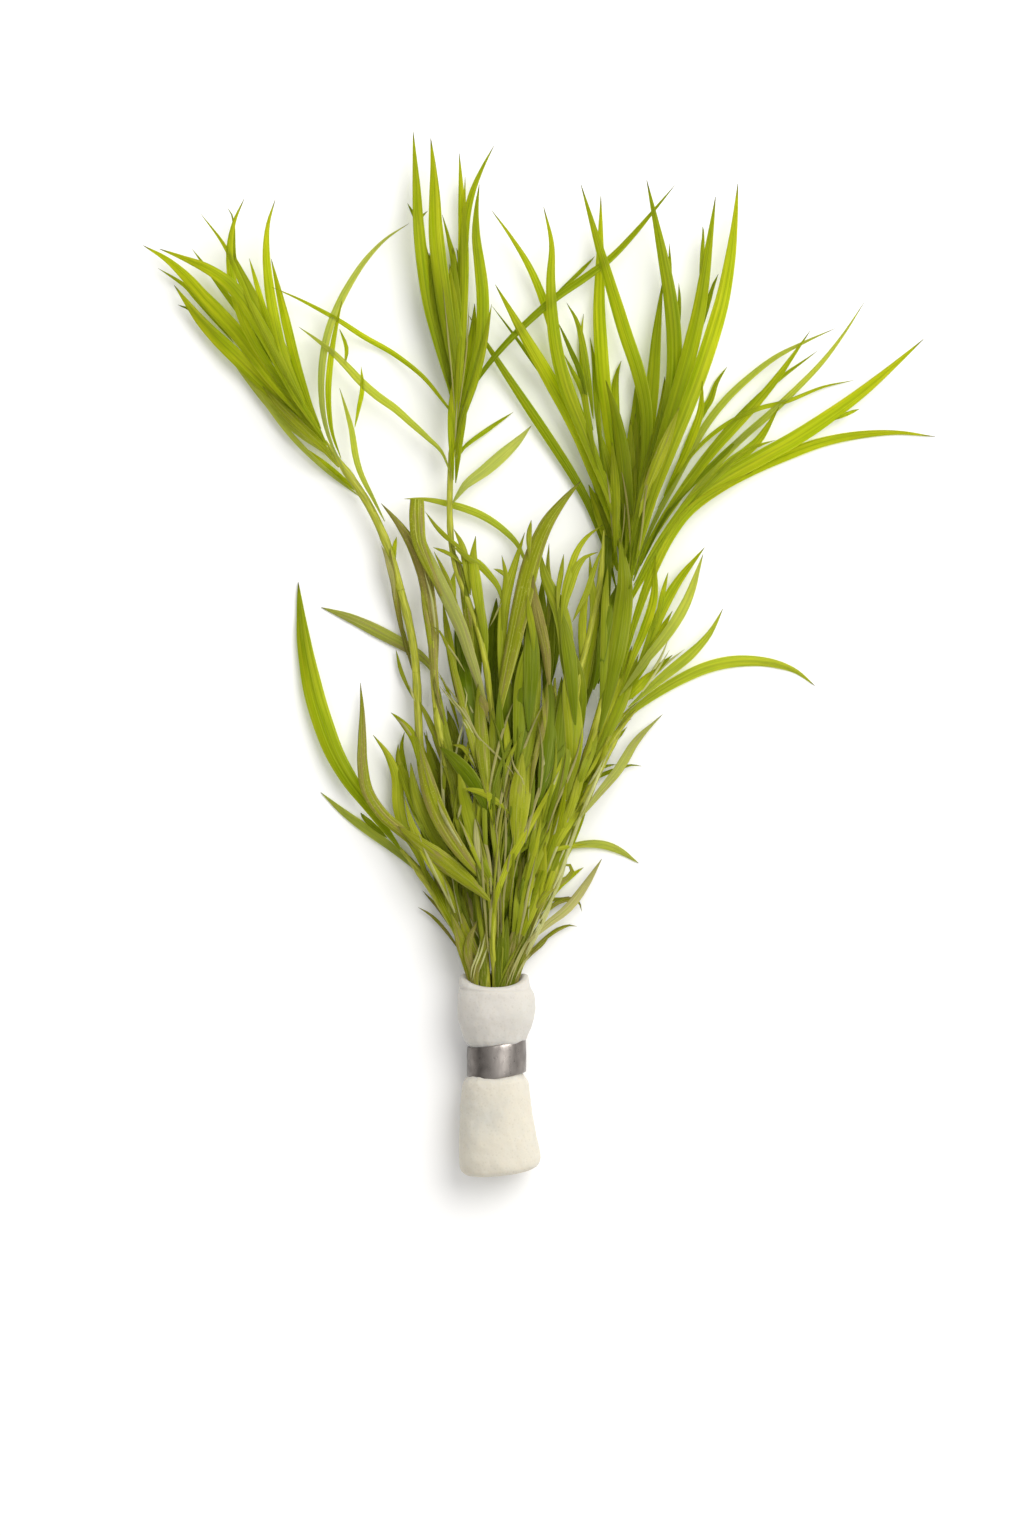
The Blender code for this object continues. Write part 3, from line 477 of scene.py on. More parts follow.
def leaf_tree():
    """Sweeps a thin folded section along each route, and lets the edges of the leaf wave."""
    tree = new_tree("grow_leaves", {
        "Section points": ("Int", 16),
        "Thickness": ("Float", 0.08),
        "Fold": ("Float", 0.14),
        "Wave height": ("Float", 0.14 * MM),
        "Wave scale": ("Float", 210.0),
        "Finish": ("Material", None),
    })
    given = tree.nodes.new("NodeGroupInput").outputs
    curve = node(tree, "GeometryNodeMeshToCurve", {"Mesh": given["Geometry"]})
    curve = node(tree, "GeometryNodeSetCurveNormal", {"Curve": curve}, mode="Z_UP")
    curve = node(tree, "GeometryNodeSetCurveTilt", {"Curve": curve, "Tilt": stored(tree, "twist")})
    fullness = width_profile(tree, stored(tree, "along"), LEAF_WIDTH_PROFILE)
    half_width = calculate(tree, "MULTIPLY", stored(tree, "width"), 0.5)
    radius = calculate(tree, "MULTIPLY", half_width, fullness)

    ring = node(
        tree, "GeometryNodeCurvePrimitiveCircle",
        {"Resolution": given["Section points"], "Radius": 1.0}, mode="RADIUS",
    )
    place = node(tree, "GeometryNodeInputPosition")
    split = node(tree, "ShaderNodeSeparateXYZ", {0: place}).node.outputs
    ring = store(tree, ring, "across", split["X"])
    lift = calculate(tree, "MULTIPLY", calculate(tree, "ABSOLUTE", split["X"]), given["Fold"])
    height = calculate(
        tree, "ADD", calculate(tree, "MULTIPLY", split["Y"], given["Thickness"]), lift
    )
    section = node(tree, "ShaderNodeCombineXYZ", {0: split["X"], 1: height})
    ring = node(tree, "GeometryNodeSetPosition", {"Geometry": ring, "Position": section})

    ribbon = node(
        tree, "GeometryNodeCurveToMesh",
        {"Curve": curve, "Profile Curve": ring, "Scale": radius, "Fill Caps": True},
    )
    bumps = node(
        tree, "ShaderNodeTexNoise", {"Vector": place, "Scale": given["Wave scale"], "Detail": 1.0}
    )
    centred = calculate(tree, "SUBTRACT", bumps, 0.5)
    edge = calculate(tree, "POWER", calculate(tree, "ABSOLUTE", stored(tree, "across")), 2.0)
    sway = calculate(tree, "MULTIPLY", centred, edge)
    sway = calculate(tree, "MULTIPLY", sway, given["Wave height"])
    sway = calculate(tree, "MULTIPLY", sway, SWAY_GAIN)
    offset = node(tree, "ShaderNodeCombineXYZ", {2: sway})
    ribbon = node(tree, "GeometryNodeSetPosition", {"Geometry": ribbon, "Offset": offset})
    ribbon = node(tree, "GeometryNodeSetShadeSmooth", {"Geometry": ribbon})
    ribbon = node(tree, "GeometryNodeRealizeInstances", {"Geometry": ribbon})
    ribbon = node(tree, "GeometryNodeSetMaterial", {"Geometry": ribbon, "Material": given["Finish"]})
    node(tree, "NodeGroupOutput", {"Geometry": ribbon})
    return tree


grow_leaves = leaf_tree()
print("leaf tree:", len(grow_leaves.nodes), "nodes")

# %% [markdown]
# A tree needs something to grow along. Each route becomes a line of vertices joined by edges,
# and the numbers for the finish ride on those vertices. The result is copied out as a plain mesh,
# because a finished piece should hold its own shape and not a recipe.

# %% From routes to a finished piece
ROUTE_STEP = 1.0 * MM
MOST_LEAN = 0.16
MOST_TURN = 0.34
RIBBON_TO_SOLID = 1.2
# The share of its width that a stalk starts with, where it has a taper
TAPER_FROM = 0.25


def curve_point(before, start, end, after, t):
    """A place on the smooth curve from start to end, for t from 0 to 1 (Catmull-Rom)."""
    return 0.5 * (
        2 * start + (end - before) * t
        + (2 * before - 5 * start + 4 * end - after) * t ** 2
        + (3 * start - before - 3 * end + after) * t ** 3
    )


def smooth_route(points, step=ROUTE_STEP):
    """Points about a step apart on the smooth curve through the given ones."""
    corners = [2 * points[0] - points[1], *points, 2 * points[-1] - points[-2]]
    route = []
    for before, start, end, after in zip(corners, corners[1:], corners[2:], corners[3:]):
        pieces = max(1, round((end - start).length / step))
        route += [
            curve_point(before, start, end, after, piece / pieces) for piece in range(pieces)
        ]
    return [*route, corners[-2]]


def plan_route(points):
    """The smooth route through places in the picture's plane, given in millimetres."""
    return smooth_route([Vector((x, y, 0)) * MM for x, y in points])


# The share of its length that a leaf with a cut-off end has lost at its tip
CUT_OFF = {"inner over 2": 0.3}


def strip(name, route, width, age, shade=(0.0, 0.2), pale=0.0):
    """One leaf to grow: its route and full width in metres, how old it is, 0 to 2, how deep its green
    is, drawn from a range and partly painted shade, and how pale it is, with a lean and a turn of its
    own."""
    chance = random.Random(name)
    return {
        "route": route,
        "width": width * RIBBON_TO_SOLID,
        "age": age,
        "shade": chance.uniform(*shade),
        "pale": pale,
        "cut_off": CUT_OFF.get(name, 0.0),
        "lean": chance.uniform(-MOST_LEAN, MOST_LEAN),
        "turn": chance.uniform(-MOST_TURN, MOST_TURN),
    }


def routes_object(name, strips):
    """Lines of vertices along all the routes, with the numbers that the tree and finish read."""
    places, edges = [], []
    numbers = {key: [] for key in ("along", "width", "age", "shade", "pale", "twist")}
    for made in strips:
        first, count = len(places), len(made["route"])
        places += made["route"]
        edges += [(first + step, first + step + 1) for step in range(count - 1)]
        for step in range(count):
            along = made["cut_off"] + (1 - made["cut_off"]) * step / (count - 1)
            numbers["along"].append(along)
            numbers["twist"].append(made["lean"] + made["turn"] * along)
            taper = 1.0
            if "taper_steps" in made:
                taper = min(1.0, TAPER_FROM + step / made["taper_steps"])
            numbers["width"].append(made["width"] * taper)
            for key in ("age", "shade", "pale"):
                numbers[key].append(made[key])
    mesh = bpy.data.meshes.new(name)
    mesh.from_pydata(places, edges, [])
    for key, values in numbers.items():
        mesh.attributes.new(key, "FLOAT", "POINT").data.foreach_set("value", values)
    return add_object(name, mesh)


def grow(name, tree, strips, settings):
    """Runs a tree over some routes and returns the result as a plain mesh object."""
    source = routes_object(f"{name}_routes", strips)
    modifier = source.modifiers.new("grow", "NODES")
    modifier.node_group = tree
    for item in tree.interface.items_tree:
        if item.in_out == "INPUT" and item.name in settings:
            modifier[item.identifier] = settings[item.name]
    graph = bpy.context.evaluated_depsgraph_get()
    mesh = bpy.data.meshes.new_from_object(
        source.evaluated_get(graph), preserve_all_data_layers=True, depsgraph=graph
    )
    mesh.name = name
    bpy.data.objects.remove(source)
    return add_object(name, mesh)


def hand_over(piece, slot, *nodes):
    """The piece rides on the bunch's one body and stands for its solids, which it hides. The slot is
    not used.
    """
    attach(piece, "root")
    if nodes:
        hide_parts(*nodes)
    return piece


# The age from which a leaf gets the dense finish
OLD_FROM = 0.45


def leaves(name, strips, *nodes, pressed=False):
    """Grows strips as leaves. Old ones let little light through, and so do those pressed on others."""
    young = [made for made in strips if made["age"] < OLD_FROM]
    old = [made for made in strips if made["age"] >= OLD_FROM]
    if young:
        finish, slot = young_leaf, "leaf_young_green"
        if pressed:
            finish, slot = dense_leaf, "leaf_deep_green"
        hand_over(grow(name, grow_leaves, young, {"Finish": finish}), slot, *nodes)
    if old:
        old_name = f"{name}_old" if young else name
        hand_over(grow(old_name, grow_leaves, old, {"Finish": dense_leaf}), "leaf_olive", *nodes)
    print(name, len(young), "young and", len(old), "old")


# %% [markdown]
# ## The leaves that have a solid
#
# A leaf's solid in the frame is a string of flat diamonds. Walking along it from ring to ring gives
# back the line that it was swept along, with its real height over the others. The fine leaf is grown
# on that line, so it lies exactly where its solid does. Its age, how deep its green is and how pale it
# is are listed by name, as they are seen; the depth of green is partly painted shade.

# %% Read each leaf's line from its solid
WELD = 2e-6
TIP_REACH = 0.32 * MM


def midline(name):
    """A leaf solid's middle line from tip to base, and its full width."""
    form = bmesh.new()
    form.from_mesh(frame["nodes"][name].data)
    bmesh.ops.remove_doubles(form, verts=form.verts, dist=WELD)
    tip = min(form.edges, key=lambda edge: edge.calc_length()).verts[0]
    ring = {spot for spot in form.verts if (spot.co - tip.co).length < TIP_REACH}
    seen, line, width = set(), [], 0.0
    while ring:
        seen |= ring
        line.append(sum((spot.co for spot in ring), Vector()) / len(ring))
        width = max(width, *((a.co - b.co).length for a in ring for b in ring))
        ring = {edge.other_vert(spot) for spot in ring for edge in spot.link_edges} - seen
    form.free()
    return line, width


# How old some leaves are, from 0 for fresh to 2 for bleached
LEAF_AGES = {
    "leaf_inner_1": 0.8, "leaf_inner_2": 0.7, "leaf_inner_3": 0.46, "leaf_inner_4": 0.66,
    "leaf_lower_left_1": 0.65, "leaf_lower_left_4": 0.8, "leaf_middle_3": 0.2,
    "leaf_left_1": 0.15, "leaf_cross_1": 0.2, "leaf_lower_right_6": 0.6, "leaf_lower_right_7": 1.5,
    "leaf_lower_right_2": 0.3,
}
# How wide some leaves show, as a share of their solid's width
SHOWN_WIDTHS = {
    "leaf_inner_1": 1.1, "leaf_inner_2": 0.8, "leaf_inner_4": 0.92, "leaf_lower_left_4": 0.8,
    "leaf_left_1": 0.75, "leaf_left_2": 0.62, "leaf_sweep_3": 0.85, "leaf_sweep_4": 0.85,
    "leaf_sweep_5": 0.85, "leaf_cross_2": 0.8, "leaf_arc_2": 0.85,
}
# How deep the green is in each group, 0 to 1, partly painted shade
SHADES = {
    "left": (0.0, 0.2), "middle": (0.05, 0.35), "right": (0.05, 0.45), "sweep": (0.0, 0.2),
    "inner": (0.0, 0.3), "lower_right": (0.0, 0.3), "lower_left": (0.0, 0.3),
    "arc": (0.2, 0.45), "cross": (0.3, 0.5),
}
# The depth of green, partly painted shade, of leaves that differ from their group
LEAF_SHADES = {
    "leaf_cross_1": 0.0, "leaf_arc_2": 0.1, "leaf_lower_right_1": 0.0, "leaf_lower_right_4": 0.0,
    "leaf_lower_left_3": 0.32, "leaf_right_1": 0.42, "leaf_left_1": 0.0, "leaf_left_4": 0.3,
    "leaf_left_5": 0.0, "leaf_middle_4": 0.3, "leaf_right_10": 0.08, "leaf_right_4": 0.12,
    "leaf_right_5": 0.12, "leaf_inner_2": 0.0, "leaf_sweep_2": 0.25, "leaf_middle_3": 0.2,
}
# How pale some leaves are that lie alone on the surface, 0 to 1
LEAF_PALE = {
    "leaf_middle_7": 0.45, "leaf_lower_right_2": 0.35, "leaf_left_2": 0.35, "leaf_left_1": 0.35,
    "leaf_lower_right_4": 0.3, "leaf_arc_1": 0.35, "leaf_arc_2": 0.25, "leaf_cross_1": 0.25,
    "leaf_sweep_4": 0.25, "leaf_lower_right_6": 0.25, "leaf_sweep_2": 0.25,
    "leaf_lower_left_2": 0.3, "leaf_lower_left_1": 0.15, "leaf_lower_right_1": 0.15,
    "leaf_middle_3": 0.15, "leaf_lower_right_5": 0.15, "leaf_inner_2": 0.3,
}
leaf_lines = {name: midline(name) for name in sorted(frame["nodes"]) if name.startswith("leaf_")}
for leaf, (line, width) in leaf_lines.items():
    age = LEAF_AGES.get(leaf, 0.0)
    shown = width * SHOWN_WIDTHS.get(leaf, 1.0)
    shades = SHADES[leaf.removeprefix("leaf_").rstrip("_0123456789")]
    if leaf in LEAF_SHADES:
        shades = (LEAF_SHADES[leaf], LEAF_SHADES[leaf])
    grown = strip(leaf, smooth_route(line), shown, age, shades, LEAF_PALE.get(leaf, 0.0))
    leaves(leaf.replace("leaf", "blade"), [grown], leaf)
widths = sorted({round(width / MM, 1) for _, width in leaf_lines.values()})
print(len(leaf_lines), "leaves, widths in mm:", widths)

# %% [markdown]
# ## Heights for everything else
#
# The photograph of a bunch shows where a leaf runs but not how high. The rest of the leaves are
# therefore laid like straws on a heap: each one rests on whatever is already below it, and then
# becomes part of the heap itself. A ray cast down on the solids gives the heap to start from.

# %% Lay a route on the heap
CELL = 0.5 * MM
LAY_GAP = 0.22 * MM
LEAST_GAP = 0.3
STEEPEST = 0.4
LOWEST = 0.5 * MM
HIGHEST = 12.45 * MM
BASE_REACH = 6
BASE_SINK = 0.8 * MM
LAID_SINK = 0.25 * MM
ROUNDINGS = 3
ABOVE_ALL = 0.05
DOWN = Vector((0, 0, -1))


def surface_of(names):
    """The surface of some solids together, for rays to be cast at."""
    form = bmesh.new()
    for name in names:
        form.from_mesh(frame["nodes"][name].data)
    found = BVHTree.FromBMesh(form)
    form.free()
    return found


def top_of(solids, place):
    """The height of the solids at a place, or None beside them."""
    hit = solids.ray_cast(Vector((place.x, place.y, ABOVE_ALL)), DOWN)[0]
    return hit.z if hit else None


all_solids = surface_of(frame["nodes"])
# The height of what has been laid so far, for each cell of a grid seen from above
heap = {}


def heap_top(place):
    """How high the heap is at a place, and which cell that is."""
    cell = (round(place.x / CELL), round(place.y / CELL))
    if cell not in heap:
        heap[cell] = top_of(all_solids, place) or 0.0
    return heap[cell], cell


def sides(route, width):
    """For each point of a route, three places across the leaf there."""
    for step, place in enumerate(route):
        ahead = route[min(step + 1, len(route) - 1)] - route[max(step - 1, 0)]
        across = Vector((-ahead.y, ahead.x, 0)).normalized() * width / 3
        yield step, (place - across, place, place + across)


def ease(heights, steps):
    """Keeps the slopes gentle, then rounds the corners."""
    for order in (range(1, len(heights)), range(len(heights) - 2, -1, -1)):
        for number in order:
            back = number - order.step
            least = heights[back] - STEEPEST * steps[min(number, back)]
            heights[number] = max(heights[number], least)
    for _ in range(ROUNDINGS):
        heights = [
            (heights[max(n - 1, 0)] + 2 * heights[n] + heights[min(n + 1, len(heights) - 1)]) / 4
            for n in range(len(heights))
        ]
    return heights


def sink_base(heights, sink):
    """Lets the base go down between its neighbours, where its end isn't seen."""
    last = len(heights) - 1
    reach = min(BASE_REACH, last)
    return [
        max(LOWEST, height - sink * max(0.0, 1 - (last - number) / reach) ** 2)
        for number, height in enumerate(heights)
    ]


def at_heights(route, heights):
    """The same route with new heights."""
    return [Vector((place.x, place.y, height)) for place, height in zip(route, heights)]


def lay(points, width):
    """The route of a leaf that lies on everything below it."""
    route = plan_route(points)
    steps = [(end - start).length for start, end in zip(route, route[1:])]
    gap = LAY_GAP * min(1.0, max(LEAST_GAP, width / MM))
    heights = [LOWEST] * len(route)
    for step, places in sides(route, width):
        heights[step] = max(LOWEST, *(heap_top(place)[0] + gap for place in places))
    heights = [min(height, HIGHEST) for height in sink_base(ease(heights, steps), LAID_SINK)]
    for step, places in sides(route, width):
        for place in places:
            top, cell = heap_top(place)
            heap[cell] = max(top, heights[step] + gap / 2)
    return at_heights(route, heights)


def tuck(points, tip_height, base_height):
    """The route of a leaf that lies under others, from one height to another in millimetres."""
    route = plan_route(points)
    last = len(route) - 1
    for number, place in enumerate(route):
        place.z = (tip_height + (base_height - tip_height) * number / last) * MM
    return route


def follow(solids, points, drop):
    """The route of something inside its own solid, a little below that solid's top."""
    route = plan_route(points)
    found = [top_of(solids, place) for place in route]
    known = [number for number, top in enumerate(found) if top is not None]
    for number, place in enumerate(route):
        nearest = min(known, key=lambda other: abs(other - number))
        place.z = found[nearest] - drop
    heights = ease([place.z for place in route], [ROUTE_STEP] * len(route))
    return at_heights(route, heights)


# %% [markdown]
# ## Stems
#
# A stargrass stem is a round stalk a millimetre and a half thick. Every centimetre or so it
# thickens, and about as often a thin collar is left by a leaf that clasped it. Both repeat along
# the path, so a second tree makes them: it swells the radius in step with the distance along the
# curve, and sets collars at nearly the same spacing.

# %% The stem tree
STALK_SECTION_POINTS = 18
RIB_DEPTH = 0.04
# How far a swelling reaches from its middle, as a share of the way to the next
SWELLING_REACH = 0.13
COLLAR = {
    "Vertices": 14, "Radius Top": 0.72 * MM, "Radius Bottom": 0.64 * MM, "Depth": 0.5 * MM,
}
COLLAR_DROP = 0.3 * MM


def stem_tree():
    """Sweeps a ribbed section along each route, with swellings and collars along it."""
    tree = new_tree("grow_stem", {
        "Radius": ("Float", 0.7 * MM),
        "Node spacing": ("Float", 13.0 * MM),
        "Node swelling": ("Float", 0.16),
        "Ribs": ("Float", 7.0),
        "Finish": ("Material", None),
    })
    given = tree.nodes.new("NodeGroupInput").outputs
    curve = node(tree, "GeometryNodeMeshToCurve", {"Mesh": given["Geometry"]})
    curve = node(tree, "GeometryNodeSetCurveNormal", {"Curve": curve}, mode="Z_UP")
    length = node(tree, "GeometryNodeSplineParameter", pick="Length")
    turns = calculate(tree, "DIVIDE", length, given["Node spacing"])
    beat = calculate(tree, "SUBTRACT", calculate(tree, "FRACT", turns), 0.5)
    near_node = ramp(tree, calculate(tree, "ABSOLUTE", beat), 0.0, SWELLING_REACH, 1.0, 0.0)
    swelling = calculate(tree, "MULTIPLY", near_node, given["Node swelling"])
    swollen = calculate(tree, "ADD", swelling, 1.0)
    thick = calculate(tree, "MULTIPLY", stored(tree, "width"), swollen)
    radius = calculate(tree, "MULTIPLY", thick, given["Radius"])

    ring = node(
        tree, "GeometryNodeCurvePrimitiveCircle",
        {"Resolution": STALK_SECTION_POINTS, "Radius": 1.0}, mode="RADIUS",
    )
    place = node(tree, "GeometryNodeInputPosition")
    split = node(tree, "ShaderNodeSeparateXYZ", {0: place}).node.outputs
    angle = calculate(tree, "ARCTAN2", split["Y"], split["X"])
    ring = store(tree, ring, "across", angle)
    rib = calculate(tree, "SINE", calculate(tree, "MULTIPLY", angle, given["Ribs"]))
    reach = calculate(tree, "ADD", calculate(tree, "MULTIPLY", rib, RIB_DEPTH), 1.0)
    ribbed = node(tree, "ShaderNodeVectorMath", {0: place, "Scale": reach}, operation="SCALE")
    ring = node(tree, "GeometryNodeSetPosition", {"Geometry": ring, "Position": ribbed})
    stalk = node(
        tree, "GeometryNodeCurveToMesh",
        {"Curve": curve, "Profile Curve": ring, "Scale": radius, "Fill Caps": True},
    )

    spots = node(
        tree, "GeometryNodeCurveToPoints", {"Curve": curve, "Length": given["Node spacing"]},
        mode="LENGTH",
    ).node.outputs
    collar = node(
        tree, "GeometryNodeSetPosition",
        {"Geometry": node(tree, "GeometryNodeMeshCone", COLLAR), "Offset": (0, 0, -COLLAR_DROP)},
    )
    collars = node(tree, "GeometryNodeInstanceOnPoints", {
        "Points": spots["Points"], "Instance": collar, "Rotation": spots["Rotation"],
        "Scale": stored(tree, "width"),
    })
    whole = node(tree, "GeometryNodeJoinGeometry")
    for part in (collars, stalk):
        tree.links.new(part, whole.node.inputs[0])
    whole = node(tree, "GeometryNodeRealizeInstances", {"Geometry": whole})
    whole = node(tree, "GeometryNodeSetShadeSmooth", {"Geometry": whole})
    whole = node(tree, "GeometryNodeSetMaterial", {"Geometry": whole, "Material": given["Finish"]})
    node(tree, "NodeGroupOutput", {"Geometry": whole})
    return tree


grow_stem = stem_tree()
print("stem tree:", len(grow_stem.nodes), "nodes")

# %% [markdown]
# The stems' routes are listed from top to mouth, as they run in the picture. Inside the foam they
# come together round a ring, where each has its own place.

# %% Stem routes, in millimetres
STEM_RADIUS = 0.75 * MM
SLEEVE_AXIS = Vector((-7.65, -54.0, 5.7))
SLEEVE_SLANT = math.tan(math.radians(1.4))
CUT_END_Y = -86.4
THROAT_Y = -62.0
RING_RADIUS = 1.9
# Places along the sleeve, each with how far the ring of stems is spread there
IN_SLEEVE = ((SLEEVE_AXIS.y, 1.1), (THROAT_Y, 1.0), (CUT_END_Y, 1.0))

# Place round the ring in eighths of a turn from the right, or None for the middle, then the route
STEMS = {
    "stem_back": (6, (2.5, -4), (2.3, -10), (1.7, -16), (0.7, -22), (-0.7, -28), (-2.5, -35),
        (-4.3, -42), (-6.2, -49)),
    "stem_lower_left": (5, (-24.5, -32), (-20.4, -36.8), (-17, -42), (-13.3, -48), (-11.4, -51)),
    "stem_lower_right": (7, (16.2, -9.4), (13.4, -12.8), (11.2, -17), (9, -21.5), (6.9, -26),
        (5, -30.5), (3, -35.5), (0.7, -41), (-1.8, -46.5), (-4.2, -51)),
    "stem_left": (4, (-36.3, 36.2), (-33.4, 31.8), (-30.4, 27.6), (-28, 23.4), (-25.7, 18),
        (-24.1, 12.6), (-22.6, 7), (-21.4, 1.2), (-20.9, -4.5), (-20.6, -11), (-20.2, -17),
        (-18.8, -23.5), (-16.6, -29.5), (-14.1, -35.5), (-12.1, -41.5), (-10.9, -47.5)),
    "stem_inner_right": (0, (-2.6, 3), (-2, -5), (-1.7, -12), (-2.1, -19), (-2.7, -26), (-3.1, -33),
        (-3.5, -40), (-4.3, -47)),
    "stem_middle": (None, (-13.8, 41), (-14.8, 36), (-15.2, 30), (-15.3, 23.5), (-14.9, 18),
        (-13.9, 13.5), (-12.2, 9), (-10.6, 4.5), (-9.5, 0), (-8.8, -4.5), (-8.3, -9), (-7.8, -14),
        (-7.4, -20), (-7.1, -27), (-7, -34), (-7.2, -44)),
    "stem_inner_left": (3, (-18.4, 8), (-18.1, 2), (-17.8, -5), (-17.1, -12), (-15.8, -18),
        (-14, -24.5), (-12.2, -30.5), (-10.7, -37), (-9.9, -43.5), (-9.5, -49)),
    "stem_right": (1, (16.6, 27.5), (15.7, 20.5), (14.7, 13.5), (13.8, 6.5), (12.5, 0), (11.1, -6),
        (9.4, -12), (7.7, -17.5), (5.9, -23), (3.8, -29), (1.6, -35), (-0.7, -41), (-2.7, -46.5),
        (-4.8, -51)),
    "stem_bright": (2, (10.8, 21), (10.3, 14), (9.4, 8), (8, 2), (6.6, -3.5), (5.9, -9), (5.4, -14),
        (4.4, -19), (2.4, -23.5), (-0.2, -27.5), (-2.8, -31.3), (-5, -34.8), (-6.6, -38.4),
        (-7.5, -42), (-8, -46.5), (-8.1, -50.5)),
}


def in_sleeve(place, y, spread):
    """Where a stem runs through the foam at some distance along it."""
    shift = (SLEEVE_AXIS.y - y) * SLEEVE_SLANT
    if place is None:
        return Vector((SLEEVE_AXIS.x + shift, y, SLEEVE_AXIS.z)) * MM
    angle = math.tau * place / 8
    across, up = RING_RADIUS * spread * math.cos(angle), RING_RADIUS * spread * math.sin(angle)
    return Vector((SLEEVE_AXIS.x + shift + across, y, SLEEVE_AXIS.z + up)) * MM


# %% Small leaves that are one solid with their stem: width, age, then tip to base
SPRIGS = {
    "stem_inner_left": (
        (2, 1.1, (-26.9, 25.6), (-24, 22.2), (-21.6, 18.4), (-19.6, 13.5), (-18.6, 8), (-17.9, 3),
            (-17.6, -4)),
        (0.8, 0.8, (-20.2, 11), (-19.6, 8), (-18.9, 4), (-18.3, -2)),
        (1.3, 0.95, (-19.3, 14.6), (-18.8, 11), (-18.4, 7), (-18.2, 2), (-18, -3), (-17.2, -10)),
        (1.8, 0.3, (-21.9, -18.3), (-21.2, -23), (-19.4, -28), (-16.5, -33), (-12, -37)),
        (2.2, 0.4, (-15.6, -16), (-14.3, -22), (-13, -28), (-11.6, -34), (-10.2, -41)),
    ),
    "stem_middle": (
        (1.1, 0.4, (-14.6, 21.2), (-13.2, 18.4), (-12.4, 14.5), (-11.8, 10)),
        (1.3, 0.8, (-15.1, 18.4), (-13.8, 15.4), (-13, 12), (-12.5, 8), (-11.8, 3), (-11, -2)),
        (1.6, 0.1, (-10.9, 20), (-11.3, 16), (-10.7, 11), (-9.9, 6), (-9.4, 2)),
        (2.5, 0.3, (-9.9, -12), (-9.6, -17), (-8.8, -22), (-8, -28), (-7.5, -34)),
        (1.1, 0.6, (-18.3, 4.7), (-17, 3.9), (-16, 2), (-15.1, 0), (-14.4, -3), (-13.4, -7),
            (-12, -12.5), (-10.6, -18), (-8.8, -23), (-7.2, -27.5)),
        (1.5, 0.2, (-19.5, 70), (-18.5, 64), (-17, 57), (-15.5, 49), (-14.2, 39)),
    ),
    "stem_inner_right": (
        (1.5, 0.2, (-2.6, 20.6), (-4.2, 15.5), (-5.7, 10), (-6.4, 4), (-6.6, -2), (-6.7, -7)),
        (0.8, 0.6, (1.5, 18.8), (1.3, 15), (1.6, 11), (1.4, 6), (0.8, 2)),
        (2, 0.1, (2.6, -24), (1, -29), (-0.8, -34), (-2.6, -39), (-4, -44)),
        (1.8, 0.2, (-0.6, -32), (-1.8, -37), (-3, -42), (-4.2, -48)),
    ),
    "stem_right": (
        (1.6, 0, (16.6, 0), (15.2, -4), (13.8, -8), (12, -12), (10.4, -15.6), (8, -20)),
        (1.4, 0.1, (11.4, 15), (11, 9), (11, 4), (10.8, -1), (10.5, -5.5), (10.1, -9)),
        (1.6, 0.2, (8.5, -16.5), (6.9, -20.5), (5.3, -25), (3.8, -29.5), (1.8, -34.5)),
    ),
    "stem_bright": (
        (2.3, 0, (-0.2, 17.8), (0.7, 13.6), (2, 10.5), (3.4, 7.3), (4.2, 3.6), (4.4, 0), (4.8, -4),
            (5.4, -9)),
        (1.3, 0, (9.8, 17.3), (7.6, 16.4), (6, 14.3), (5, 11.5), (4.1, 8.5), (3.7, 4)),
        (0.9, 0.4, (5.4, 5.4), (6.6, 7.8), (7.9, 10.5), (9, 14), (10.4, 18)),
        (2, 0, (4.4, -2), (4.3, -7), (3.9, -12), (3, -18), (1.8, -23), (0, -27.3)),
        (1.6, 0.1, (4, -20), (2.5, -23.5), (0.6, -27), (-1.4, -31), (-4.8, -34.5)),
    ),
    "stem_lower_left": (
        (1.7, 0.2, (-28.3, -13.6), (-25.8, -17), (-24.3, -21), (-24, -25.5), (-23, -29.5),
            (-21, -33), (-18.6, -39)),
        (2, 0.5, (-15.6, -36.5), (-15.1, -40), (-14.3, -44), (-12.8, -48.5)),
    ),
    "stem_lower_right": (
        (1.5, 0.2, (7.3, -25), (5.4, -28.6), (3.9, -32.5), (2.1, -37), (-0.6, -43.8)),
    ),
}

# %% Grow the stems and their small leaves
# Small leaves whose tips are beyond this lie free and get the young finish
FREE_ABOVE = 26 * MM
# How far out of the sleeve, in millimetres, a stem still follows its solid
OUTSIDE_SLEEVE = 3
# One in this many points of a route is kept before it is smoothed again
KEEP_EVERY = 4
STALK_TAPER_STEPS = 9
SPRIG_DROP = 0.1 * MM
SPRIG_SHADES = (0.1, 0.5)
STEM_WIDTHS = {"stem_middle": 0.74, "stem_inner_right": 0.8, "stem_bright": 0.75}
# How dull the lower part of a stem is, 0 to 1
STEM_AGES = {
    "stem_right": 0.75, "stem_lower_right": 0.85, "stem_back": 0.8, "stem_inner_right": 0.5,
    "stem_lower_left": 0.5, "stem_left": 0.4,
}

